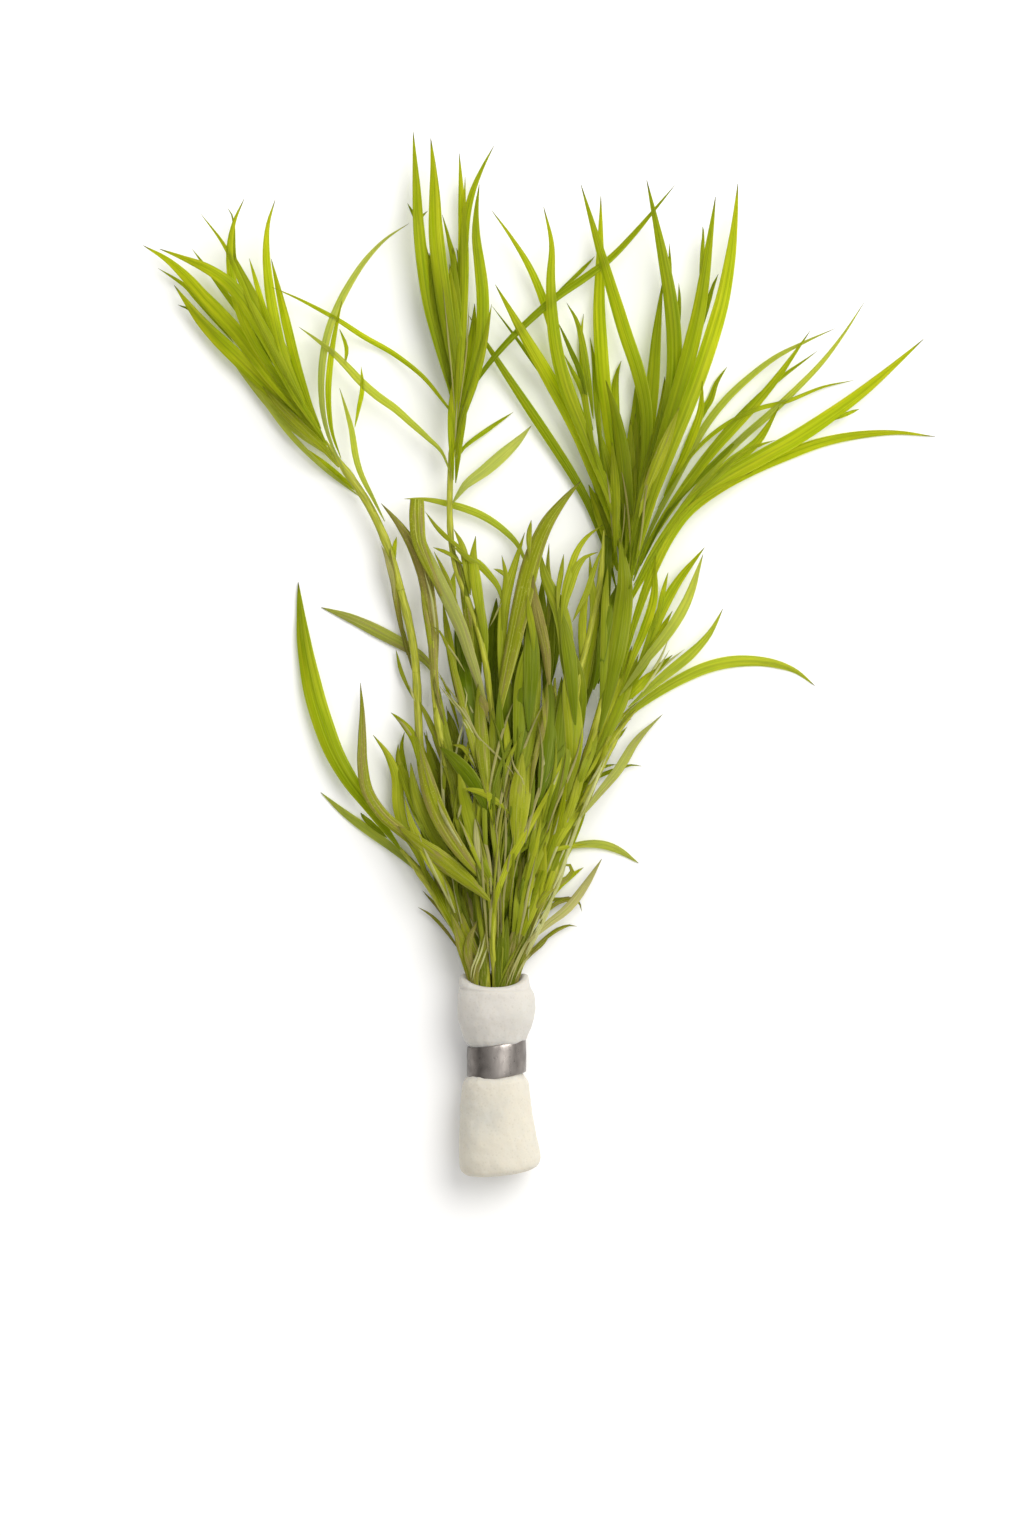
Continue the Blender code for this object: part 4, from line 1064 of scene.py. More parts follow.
for name, (place, *points) in STEMS.items():
    own = surface_of([name])
    route = follow(own, points, STEM_RADIUS)
    outside = [spot for spot in route if spot.y > (SLEEVE_AXIS.y + OUTSIDE_SLEEVE) * MM]
    inside = [in_sleeve(place, y, spread) for y, spread in IN_SLEEVE]
    route = smooth_route([*outside[::KEEP_EVERY], *inside])
    width = STEM_WIDTHS.get(name, 1.0) / RIBBON_TO_SOLID
    stalk = strip(name, route, width, STEM_AGES.get(name, 0.0))
    stalk |= {"lean": 0.0, "turn": 0.0, "taper_steps": STALK_TAPER_STEPS}
    piece = grow(name.replace("stem", "stalk"), grow_stem, [stalk], {"Finish": stem_skin})
    hand_over(piece, "stem_green", name)
    sprigs = [
        strip(f"{name} {number}", follow(own, line, SPRIG_DROP), width * MM, age, SPRIG_SHADES)
        for number, (width, age, *line) in enumerate(SPRIGS.get(name, ()))
    ]
    free = [made for made in sprigs if made["route"][0].y > FREE_ABOVE]
    pressed = [made for made in sprigs if made["route"][0].y <= FREE_ABOVE]
    for kind, group in (("free_sprigs", free), ("sprigs", pressed)):
        if group:
            leaves(name.replace("stem", kind), group, pressed=kind == "sprigs")
print(len(STEMS), "stems and", sum(len(group) for group in SPRIGS.values()), "sprigs")

# %% [markdown]
# ## Leaves by the rule of growth
#
# In a tuft the leaves overlap, and below each one lies another that is a little shorter. Between
# two neighbours of a tuft this cell puts such shorter leaves, at shares of the way from one to the
# other, and nearer the surface.

# %% Shorter leaves between neighbours in each tuft
TIPS_NEAR = 13 * MM
BASES_NEAR = 9 * MM
LOWER_BY = (0.5 * MM, 1.1 * MM)
# Where a leaf lies between its neighbours, as a share of its part of the way
BETWEEN = (0.2, 0.8)
# The most that a leaf is lowered, as a share of its neighbours' height
MOST_LOWERED = 0.8


def neighbours(group):
    """Every two leaves of a group whose tips and whose bases are close together."""
    lines = [line for name, (line, _) in leaf_lines.items() if name.startswith(group)]
    for first in range(len(lines)):
        for second in range(first + 1, len(lines)):
            tips = (lines[first][0] - lines[second][0]).length
            bases = (lines[first][-1] - lines[second][-1]).length
            if tips < TIPS_NEAR and bases < BASES_NEAR:
                yield lines[first], lines[second]


def fill_between(group, each, shorter, width, age):
    """Shorter and lower leaves between all the neighbours of a group."""
    chance = random.Random(group)
    strips = []
    for number, (first, second) in enumerate(neighbours(f"leaf_{group}")):
        for place in range(each):
            share = (place + chance.uniform(*BETWEEN)) / each
            cut, drop = chance.randint(*shorter), chance.uniform(*LOWER_BY)
            line = [
                start.lerp(end, share)
                - Vector((0, 0, min(drop, MOST_LOWERED * min(start.z, end.z))))
                for start, end in zip(first[cut:], second[cut:])
            ]
            strips.append(strip(
                f"{group} {number} {place}", smooth_route(line),
                chance.uniform(*width) * MM, chance.uniform(*age), SHADES[group],
            ))
    return strips


# For each tuft: how many between two leaves, rings cut off at the tip, widths and ages
TUFTS = {
    "left": (1, (6, 9), (0.8, 1.2), (0.0, 0.3)),
    "middle": (1, (4, 6), (1.6, 2.2), (0.0, 0.25)),
    "right": (1, (5, 7), (1.4, 2.0), (0.0, 0.2)),
    "lower_right": (1, (4, 7), (1.0, 1.5), (0.0, 0.3)),
    "lower_left": (1, (3, 6), (1.2, 1.8), (0.2, 0.6)),
}
for group, (each, shorter, width, age) in TUFTS.items():
    leaves(f"tuft_fill_{group}", fill_between(group, each, shorter, width, age))

# %% [markdown]
# Along a stem the leaves stand on alternate sides, one every few millimetres, and point forward.
# Down in the bunch they are pressed together, so they lie on the stems like shingles. Each is
# kept under the larger leaves that have a solid, and inside the bunch's own width.

# %% Leaves along the stems
# The two sides of the middle of the bunch: distance along, then x
CORE_LEFT = ((0, -21.0), (-16, -20.0), (-28, -18.5), (-40, -15.5), (-54, -11.5))
CORE_RIGHT = ((0, 9.0), (-16, 6.5), (-28, 2.5), (-40, -1.2), (-54, -4.5))
# For each stem: from and to, millimetres between leaves, age, widths, rise over the stem, shade
CORE_STEMS = {
    "stem_left": (-48, -24, 3.4, 0.55, (0.7, 1.4), (-1.6, -0.4), (0.1, 0.8)),
    "stem_inner_left": (-49, -22, 3.2, 0.5, (0.8, 1.5), (-1.4, -0.3), (0.1, 0.9)),
    "stem_middle": (-47, -20, 3.4, 0.3, (0.9, 1.7), (-1.6, -0.3), (0.2, 1.0)),
    "stem_inner_right": (-47, -14, 3.2, 0.2, (0.9, 1.7), (-1.4, -0.3), (0.2, 1.0)),
    "stem_back": (-46, -18, 4.0, 0.1, (0.8, 1.5), (-1.2, -0.2), (0.1, 0.8)),
    "stem_right": (-44, -20, 4.0, 0.1, (0.8, 1.6), (-1.2, -0.2), (0.0, 0.7)),
    "stem_lower_right": (-48, -30, 4.0, 0.2, (0.7, 1.2), (-0.8, 0.2), (0.0, 0.4)),
    "stem_lower_left": (-50, -42, 3.6, 0.5, (0.8, 1.4), (-0.8, 0.2), (0.1, 0.7)),
}
# How much the distance between leaves and their ages vary
EVERY_SPREAD = (0.7, 1.3)
AGE_SPREAD = (0.3, 1.3)
LEAF_LENGTH = (14.0, 28.0)
LEAF_ANGLE = (0.08, 0.42)
HIGHEST_TIPS = (-17.0, -7.0)
STRAIGHTENS = 0.75
# How many pieces a route is drawn in
PIECES = 8
UNDER_COVER = 0.45 * MM
# The height of a tip that isn't over a stem
TIP_HEIGHT_BESIDE = 3 * MM
# Over how many points to either side the heights are evened out
EVEN_OUT = 3


def edge_at(edge, y):
    """The x of one of the bunch's sides at some distance along it."""
    for (high, start), (low, end) in zip(edge, edge[1:]):
        if low <= y <= high:
            return start + (end - start) * (high - y) / (high - low)
    return edge[0][1] if y > edge[0][0] else edge[-1][1]


def shingle(chance, start, heading, side):
    """Plan route of one leaf, from tip to base, that leaves a stem and straightens as it grows."""
    length = min(chance.uniform(*LEAF_LENGTH), chance.uniform(*HIGHEST_TIPS) - start.y)
    angle = side * chance.uniform(*LEAF_ANGLE)
    points, place = [start], start
    for piece in range(PIECES):
        turned = Matrix.Rotation(angle * STRAIGHTENS ** piece, 2)
        place = place + turned @ heading * length / PIECES
        place.x = min(max(place.x, edge_at(CORE_LEFT, place.y)), edge_at(CORE_RIGHT, place.y))
        points.append(place)
    return plan_route(reversed(points))


def settle(route, ground, cover, rise):
    """Heights on the stems, but under the leaves that have a solid."""
    heights = []
    for place in route:
        base = top_of(ground, place)
        if base:
            height = base + rise
        else:
            height = heights[-1] + min(rise, 0.0) if heights else TIP_HEIGHT_BESIDE
        above = top_of(cover, place)
        if above:
            height = min(height, above - UNDER_COVER)
        heights.append(max(height, LOWEST))
    around = [heights[max(0, n - EVEN_OUT):n + EVEN_OUT + 1] for n in range(len(heights))]
    heights = [sum(near) / len(near) for near in around]
    return at_heights(route, sink_base(heights, BASE_SINK))


# %% Grow them stem by stem
ground = surface_of(STEMS)
cover = surface_of([*leaf_lines, "stem_bright", "stem_middle"])
for name, (low, high, every, age, widths, rises, shades) in CORE_STEMS.items():
    chance = random.Random(name)
    line = smooth_route([Vector(point) for point in reversed(STEMS[name][1:])], 1.0)
    strips, side, due = [], 1, 0.0
    for start, end in zip(line, line[1:]):
        due -= (end - start).length
        if due > 0 or not low <= start.y <= high:
            continue
        due, side = every * chance.uniform(*EVERY_SPREAD), -side
        route = shingle(chance, start, (end - start).normalized(), side)
        strips.append(strip(
            f"{name} leaf {len(strips)}", settle(route, ground, cover, chance.uniform(*rises) * MM),
            chance.uniform(*widths) * MM, age * chance.uniform(*AGE_SPREAD), shades,
        ))
    leaves(name.replace("stem", "shingles"), strips, pressed=True)

# %% [markdown]
# What gives a bunch of cuttings its silky look is the great number of very thin leaves and torn
# strips between the broad ones. They all follow the fan that opens from the mouth of the foam, so
# a strand here is drawn by its share of the way from the left side of the bunch to the right.

# %% Thin strands along the fan
STRANDS = 170
STRAND_LENGTH = (10.0, 26.0)
STRAND_WIDTH = (0.3, 0.9)
STRAND_DRIFT = 0.16
STRAND_RISE = (-0.6, 0.9)
STRAND_ROOTS = (-55.0, -24.0)
STRAND_SHADES = (0.1, 0.8)
FAN_FROM, FAN_TO = 0.02, 0.98
BLEACHED_SHARE = 0.16
BLEACHED_AGES = (1.5, 2.0)
BLEACHED_WIDTH = 0.5
# The other strands are older the nearer they are to the left side, and young beyond this share
YOUNG_FROM = 0.7
STRAND_AGE_SPREAD = (0.0, 1.2)


def strand(chance, least=FAN_FROM):
    """Plan route of a strand, from tip to root, and its share across the fan."""
    share, drift = chance.uniform(least, FAN_TO), chance.uniform(-STRAND_DRIFT, STRAND_DRIFT)
    low = chance.uniform(*STRAND_ROOTS)
    high = min(low + chance.uniform(*STRAND_LENGTH), chance.uniform(*HIGHEST_TIPS))
    points = []
    for piece in range(PIECES + 1):
        y = high + (low - high) * piece / PIECES
        across = min(max(share + drift * (1 - piece / PIECES) ** 2, 0.0), 1.0)
        left, right = edge_at(CORE_LEFT, y), edge_at(CORE_RIGHT, y)
        points.append(Vector((left + (right - left) * across, y, 0)) * MM)
    return smooth_route(points), share


chance = random.Random("strands")
strips = []
for number in range(STRANDS):
    route, share = strand(chance)
    bleached = chance.random() < BLEACHED_SHARE
    if bleached:
        age = chance.uniform(*BLEACHED_AGES)
    else:
        age = max(0.0, YOUNG_FROM - share) * chance.uniform(*STRAND_AGE_SPREAD)
    width = chance.uniform(*STRAND_WIDTH) * (BLEACHED_WIDTH if bleached else 1.0)
    route = settle(route, ground, cover, chance.uniform(*STRAND_RISE) * MM)
    strips.append(strip(f"strand {number}", route, width * MM, age, STRAND_SHADES))
leaves("fan_strands", strips, pressed=True)

# %% [markdown]
# Above them come the leaves that can be told apart one by one in the middle of the bunch. The
# first list runs from the lowest to the highest, and each leaf is set a little higher over the
# stems than the one before. Between them the surface shows through in places, which is as
# important as the leaves.

# %% Routes in the middle: width, age, depth of green with painted shade, then tip to base in millimetres
CORE_RISE = (-0.7, 0.75)
CORE_LEAVES = (
    # The first two are dark leaves that fill a hollow; their darkness is partly painted shade
    (2.2, 0.1, 1, (-14.2, 8), (-13.8, 3), (-13.1, -2), (-12.4, -7), (-11.6, -12), (-11, -16),
        (-10, -22)),
    (2, 0.2, 0.9, (-12.8, 3), (-12.2, -1), (-11.5, -5), (-10.9, -9), (-10.3, -14), (-9.8, -19)),
    (1.9, 0, 0.9, (11.2, 25), (11.4, 20), (11, 15), (10.8, 10), (10.6, 5), (10.2, 0), (9.8, -5)),
    (2.4, 0, 0.6, (10.2, 14), (10.1, 9), (9.7, 4), (9.1, 0), (8.3, -4), (7.3, -8), (6.6, -13)),
    (1.6, 0, 0.35, (9.4, 6), (8.9, 2), (8.1, -2), (7.2, -6.4), (6.6, -11), (6, -16)),
    (1.8, 0, 0.7, (2.4, 10), (2.7, 6), (2.6, 3), (2.2, -1), (1.8, -5)),
    (1.8, 0.2, 0.8, (3.6, -3.8), (3.5, -7), (3.3, -11), (2.9, -16), (2.2, -21)),
    (1.6, 0.6, 0.6, (1.7, -4), (1.8, -7), (1.7, -11), (1.2, -16)),
    (1.8, 0, 0.8, (12.6, 2), (11.8, -3), (11, -8), (10, -13), (8.6, -17), (6.8, -21)),
    (2.2, 0, 0.9, (2.6, -8), (2.2, -13), (1.6, -18), (0.6, -23), (-0.6, -28)),
    (2.4, 0.1, 0.7, (-3.9, 5), (-3.6, -1), (-3.4, -6), (-3.3, -11), (-3.6, -16)),
    (1.7, 0, 0.8, (-2.2, 8), (-2, 2), (-1.9, -3), (-2.1, -8), (-2.2, -13)),
    (2, 0, 0.9, (-0.4, 9), (-0.6, 4), (-0.8, -1), (-1, -6), (-1.2, -11)),
    (1.8, 0, 0.7, (1.9, 9.4), (1.7, 5), (1.4, 1), (1.2, -4), (0.8, -9)),
    (1.6, 0.1, 0.6, (0.4, 13), (0.3, 9), (0.7, 5), (1, 1), (1, -4)),
    (2.4, 0.1, 0.85, (-7.4, 9.6), (-7.7, 5), (-7.8, 0), (-7.8, -5), (-7.6, -10), (-7.3, -15)),
    (1.6, 0.1, 0.5, (-9.9, 9.8), (-9.9, 6), (-9.6, 2), (-9.3, -3)),
    (1.5, 0.3, 0.6, (-11, 8), (-10.9, 4), (-10.6, 0), (-10.1, -4)),
    (1.2, 0.5, 0.3, (-16.5, 9), (-15.9, 5), (-15.2, 1), (-14.4, -4), (-13.4, -10)),
    (1.8, 0.1, 0.6, (5.8, 0.6), (6.5, -3), (6.8, -7), (6.6, -12), (6, -17)),
    (1.8, 0, 0.85, (13.4, 12.4), (12.2, 9), (11.3, 6), (10.6, 2), (10, -2), (9, -6)),
    (1.2, 0.4, 0.1, (8.2, 11.6), (7.6, 9), (7.2, 6), (7.1, 3), (7.1, -1), (6.8, -5)),
    (2.2, 0.1, 0.6, (-1, -3), (-1.2, -8), (-1.2, -13), (-1.2, -18), (-1.6, -24)),
    (1.5, 0.1, 0.7, (-12.7, 12), (-12.3, 8), (-11.8, 4), (-11.2, 0), (-10.6, -4)),
    (1.6, 0.4, 0.5, (-17.8, -3), (-17.4, -7), (-16.8, -11), (-15.6, -15.5), (-14.4, -20)),
    (1.6, 0.1, 1, (-14.2, -24), (-13.2, -27), (-12.2, -30), (-11.2, -33), (-10.2, -37)),
    (1.8, 0.1, 0.5, (-22.9, -23.4), (-21, -26), (-19.6, -28.8), (-18.4, -32.4)),
    (2.4, 0.6, 0.7, (-14, -38.6), (-13.4, -42), (-12.7, -45), (-11.8, -48.4)),
    (1.6, 0.9, 0.4, (-18.6, -34.8), (-17.2, -38), (-15.8, -41.4), (-14.4, -45)),
    (1.4, 0.1, 1, (-4.2, -33), (-4.5, -38), (-4.8, -42), (-5.4, -47)),
    (1.4, 0.4, 0.4, (0.9, -5), (0.9, -10), (0.6, -15), (0, -20), (-0.8, -25)),
    (0.9, 0.6, 0.3, (-20.6, -7.6), (-19.4, -10), (-18.3, -12.4), (-17.2, -15), (-16.2, -18.4)),
    (1.2, 0.6, 0.3, (-18.9, -11), (-17.6, -14.4), (-16.4, -17.2), (-15.2, -20), (-14.4, -23.5),
        (-13.6, -27)),
    (1.6, 0.5, 0.5, (-15.6, -9.5), (-14.9, -12.5), (-14.3, -15.5), (-13.4, -19.4)),
    (1.4, 0.1, 0.1, (-14, -14.6), (-13.3, -16.6), (-12.3, -19.2), (-11, -22)),
    (1.3, 0.1, 0.4, (-19.3, -14), (-18.5, -18), (-17.6, -21.6), (-16.4, -25), (-15, -28.4)),
    (1, 0.5, 0.2, (-24, -15.2), (-24, -17.6), (-23.1, -20.2), (-21.6, -23), (-20, -26),
        (-18.4, -29)),
    (1.2, 0, 0.2, (12.8, 24), (12.6, 20), (12, 16), (11.4, 12), (11, 7)),
    (2.2, 0, 0.85, (-5.8, -1), (-5.8, -6), (-5.7, -11), (-5.5, -16), (-5.3, -21)),
    (1.6, 0, 0.3, (8.4, 17), (8.6, 13), (9.1, 9.4), (9.2, 6), (8.5, 2), (7.8, -2), (7.2, -6),
        (6.8, -11), (6.2, -16)),
    (1.3, 0, 0.4, (10.1, -12.2), (9.2, -14.8), (8.2, -17.4), (7.2, -20), (6, -23.4)),
    (0.6, 0.3, 0.2, (9, -12.5), (8.6, -14.6), (8, -16.8), (7.2, -19.5), (6.4, -22)),
    (1.4, 0.5, 0, (15.6, 1.5), (14.4, -2), (13.2, -5.5), (11.9, -9), (10.6, -13), (9.4, -16.5)),
    (1.1, 0.5, 0, (6.5, -19.6), (6.1, -22), (5.5, -24.8), (4.6, -27.6), (3.8, -30.4)),
    (1, 0, 0.3, (3.5, -25.6), (2.9, -29), (2.2, -32.4), (1.4, -36)),
    (0.8, 0.1, 0.2, (4.7, -25), (4.1, -28), (3.3, -31.4), (2.4, -35)),
    (1.8, 0, 0.1, (0.9, -31.6), (0.5, -35), (-0.1, -38.5), (-1.1, -42), (-2.2, -45), (-3.4, -48.6)),
    (1.5, 0.1, 0.4, (-2.9, -34), (-3.2, -38), (-3.6, -42), (-4.1, -46), (-4.8, -50)),
    (0.9, 0, 0, (2.4, -32.8), (1.4, -36), (0.6, -39), (-0.3, -42), (-1.4, -45)),
    (0.9, 0.4, 0, (3.4, -32.8), (2.4, -36), (1.3, -39.2), (-0.1, -42.4), (-1.4, -45.4)),
    (1.2, 0, 0.1, (7.2, -25), (5.7, -27.4), (4.1, -29.6), (2.6, -32.2), (1.2, -35.6)),
    (1, 0.3, 0, (11.4, -14.4), (10.5, -17.2), (9.5, -20), (8.6, -23), (7.5, -26), (6.2, -29)),
    (0.5, 0.4, 0.1, (10.8, -15.2), (9.2, -18.4), (7.7, -20.8), (6.4, -22.8)),
    (0.5, 0.7, 0, (16.8, -7.8), (15, -9.3), (13, -11.6), (11.4, -14.4), (9.8, -17.6)),
    (0.5, 0.6, 0, (15.6, -10.8), (13.4, -12.4), (11.8, -14.8), (10, -18.6), (8.6, -22)),
    (1.3, 1.2, 0.1, (-12.4, -40), (-11.3, -43), (-10.5, -46), (-9.9, -48.6)),
    (0.8, 0.9, 0.1, (-5.3, -36.8), (-5.1, -40), (-5, -43.4)),
    (0.9, 0.2, 0, (-6.9, -42), (-6.4, -44.2), (-6.1, -47)),
)

# %% Routes of the leaves that lie over those and over the bright stems, the lowest first
CORE_OVER = (
    (1.3, 0.1, 1, (-5.9, -24.6), (-5.6, -28.6), (-5.6, -33), (-5.9, -37)),
    (1.6, 0.4, 0.45, (-8.2, -21.6), (-7.7, -26.5), (-7.3, -31), (-7.1, -35), (-7.3, -39)),
    (1.3, 0.1, 0.35, (2.6, -20.6), (1, -24.4), (-0.1, -28), (-1.2, -31.6), (-2.2, -35.4)),
    # A dark leaf laid in a hollow, as painted shade there
    (1.1, 0.6, 1, (-10.8, -35), (-10, -38), (-9.2, -41), (-8.4, -45)),
    (0.6, 0.2, 0.2, (-13.9, -27.4), (-12.6, -30), (-11.3, -33), (-10, -36), (-8.4, -38.6)),
    (2, 0.1, 0.4, (-13.9, -19), (-12.9, -23.6), (-11.9, -27.6), (-10.9, -31.5), (-9.6, -35),
        (-7.8, -39)),
    (0.9, 1.6, 0, (-11, -27.6), (-10.8, -30), (-10.6, -32.4), (-10.1, -35)),
    (2.2, 0, 0.9, (-17, -15.6), (-15, -17.2), (-13, -19.4), (-11.2, -21.8), (-9.6, -24.6),
        (-8.6, -28)),
    (1, 0.2, 0.15, (-13, -22.6), (-11.4, -22.9), (-9.6, -23.4), (-8, -24.4), (-6.2, -25.8),
        (-4.6, -27.4)),
    (1.8, 0, 0.6, (4.6, -10), (4.3, -15), (3.6, -20), (2.6, -24), (1.2, -28.4)),
    (1.9, 0, 0.8, (3.6, -6), (3.4, -12), (2.8, -18), (2, -22), (0.8, -27)),
    (2.4, 0, 0.85, (1.7, -4), (1.7, -10), (1.3, -16), (0.6, -21), (-0.4, -25.6)),
    (0.8, 0, 0.1, (3.8, -17), (2.9, -20), (1.8, -23), (0.8, -26), (0.2, -29.4)),
    (2.7, 0.2, 0.3, (4.6, 0), (4.9, -6), (5.5, -11), (5.7, -15), (5.3, -19.6), (4.4, -24.6)),
    (2, 0, 0.65, (2.6, 9), (3.9, 5), (4.7, 1), (5.2, -3), (5.6, -8), (5.9, -12)),
    (2, 0.6, 0.45, (-10.5, -5), (-10.1, -11), (-9.6, -17), (-9, -22), (-8.4, -26)),
    (1.5, 0.4, 0.6, (-8.1, -9), (-7.9, -14), (-7.5, -19), (-6.9, -26)),
    (1.2, 0.9, 0.5, (-6.3, -16.4), (-5.9, -20), (-5.6, -24), (-5.4, -28)),
    (1.3, 0.1, 0.9, (-7, -6), (-6.8, -12), (-6.3, -18), (-5.8, -23)),
    (1, 0, 0.2, (-5.7, -10.4), (-5.6, -14), (-5.3, -18), (-4.8, -21.4)),
    (2.2, 0.3, 0.5, (-0.6, 3), (-0.8, -2), (-1.1, -6.6), (-1.5, -11), (-2, -15), (-2.7, -19),
        (-3.3, -23.6)),
    (0.9, 0.9, 0.4, (1.2, -4), (1, -9), (0.3, -13), (-0.6, -16.4), (-1.3, -20), (-1.9, -24.4)),
    (2, 0.1, 0.9, (-1.8, 1), (-2.2, -3), (-2.7, -7.5), (-3, -12), (-3.3, -15), (-3.9, -19)),
    (2.4, 0, 0.55, (-1.2, 7), (-1.6, 2), (-2.5, -2.5), (-3.1, -6), (-3.4, -10), (-3.7, -14),
        (-4.2, -18.6)),
    (2.3, 0, 0.8, (-1.6, 8), (-1.5, 3), (-1.4, 0), (-1.5, -4), (-1.8, -8), (-2, -13)),
    (1.7, 1.05, 0.2, (-1.2, 13.4), (-1, 9.8), (-0.3, 6), (0.4, 3), (1, 0), (1.3, -3), (1.5, -6.4)),
    (1, 0, 0.35, (-2.2, 10), (-1.8, 7), (-1.3, 4), (-1.1, 0)),
    (0.5, 0.8, 0.1, (0.4, -5.6), (0.6, -9), (0.7, -12), (0.5, -15)),
    (1.1, 0, 0, (2.4, -21), (0, -25.8), (-2.9, -30.9), (-5.7, -36), (-7.6, -41.7), (-8.1, -47)),
    (0.7, 0.1, 0.1, (8, -32), (5.7, -32.3), (3.2, -32.8), (1.1, -33.6), (-0.8, -35.4)),
    (0.5, 0.5, 0, (-17.2, -3), (-15.7, -6), (-14.6, -9.4), (-13.6, -13)),
    (0.6, 0, 0.1, (-9, -20.6), (-8.7, -24), (-8, -27.6), (-7.4, -31)),
    (0.6, 0.3, 0, (0.2, -27), (-0.4, -31), (-1.4, -35), (-2.6, -39)),
    (0.5, 0.2, 0, (2.6, -28.6), (1.4, -32.6), (-0.2, -36.8), (-2, -41)),
    (0.4, 0.9, 0, (2.4, -6.4), (2.5, -8.4), (2.4, -10.6), (2.2, -12.4)),
    (0.7, 0.9, 1, (-17.9, -3.6), (-17.6, -6), (-17, -9), (-16.2, -12)),
    (2.8, 0, 0.55, (13.4, 19.6), (14, 15), (14.2, 11), (13.7, 6), (12.9, 1), (12, -3.5), (11.2, -8),
        (10, -13)),
    (1.3, 1.05, 0.5, (-10.1, -6.8), (-9.5, -8.6), (-9, -10.6)),
    (0.35, 1.5, 0, (-17.4, -3.4), (-15, -6.4), (-12.7, -9.6), (-10.6, -13.8), (-8.4, -16),
        (-6.4, -18), (-4.8, -19.8), (-3.4, -22.4)),
    (0.3, 1.6, 0, (-16.6, -5.4), (-14.8, -7.6), (-13, -9.8), (-11.4, -12.6), (-10, -15.4)),
)

# %% Settle the first list in order, then lay each leaf of the second on everything below it
strips = []
for number, (width, age, shade, *points) in enumerate(CORE_LEAVES):
    rise = CORE_RISE[0] + (CORE_RISE[1] - CORE_RISE[0]) * number / len(CORE_LEAVES)
    route = settle(plan_route(points), ground, cover, rise * MM)
    strips.append(strip(f"core {number}", route, width * MM, age, (shade, shade)))
for number, (width, age, shade, *points) in enumerate(CORE_OVER):
    route = lay(points, width * MM)
    strips.append(strip(f"core over {number}", route, width * MM, age, (shade, shade)))
leaves("core_leaves", strips, pressed=True)

# %% [markdown]
# The right half of the fan shows fine lines that run over the broad leaves too. So some strands
# by the same rule are laid on top there.

# %% Strands on top
TOP_STRANDS = 30
TOP_FROM = 0.42
TOP_WIDTH = (0.25, 0.6)
TOP_AGES = (0.2, 0.4, 0.7, 1.4)
TOP_SHADES = (0.2, 0.9)

chance = random.Random("top strands")
strips = []
for number in range(TOP_STRANDS):
    route, _ = strand(chance, TOP_FROM)
    width = chance.uniform(*TOP_WIDTH) * MM
    spots = [(place.x / MM, place.y / MM) for place in route[::KEEP_EVERY] + route[-1:]]
    laid = lay(spots, width)
    strips.append(strip(f"top strand {number}", laid, width, chance.choice(TOP_AGES), TOP_SHADES))
leaves("top_strands", strips, pressed=True)

# %% [markdown]
# ## Leaves too small or too many for a solid
#
# These are the leaves that make the bunch look full: narrow ones inside the tufts, dark points of
# leaves that lie below, and broad old ones in the middle. Each has its route as it is seen. Some
# lie on top of the heap, and the others are tucked under it, where only their tips show.

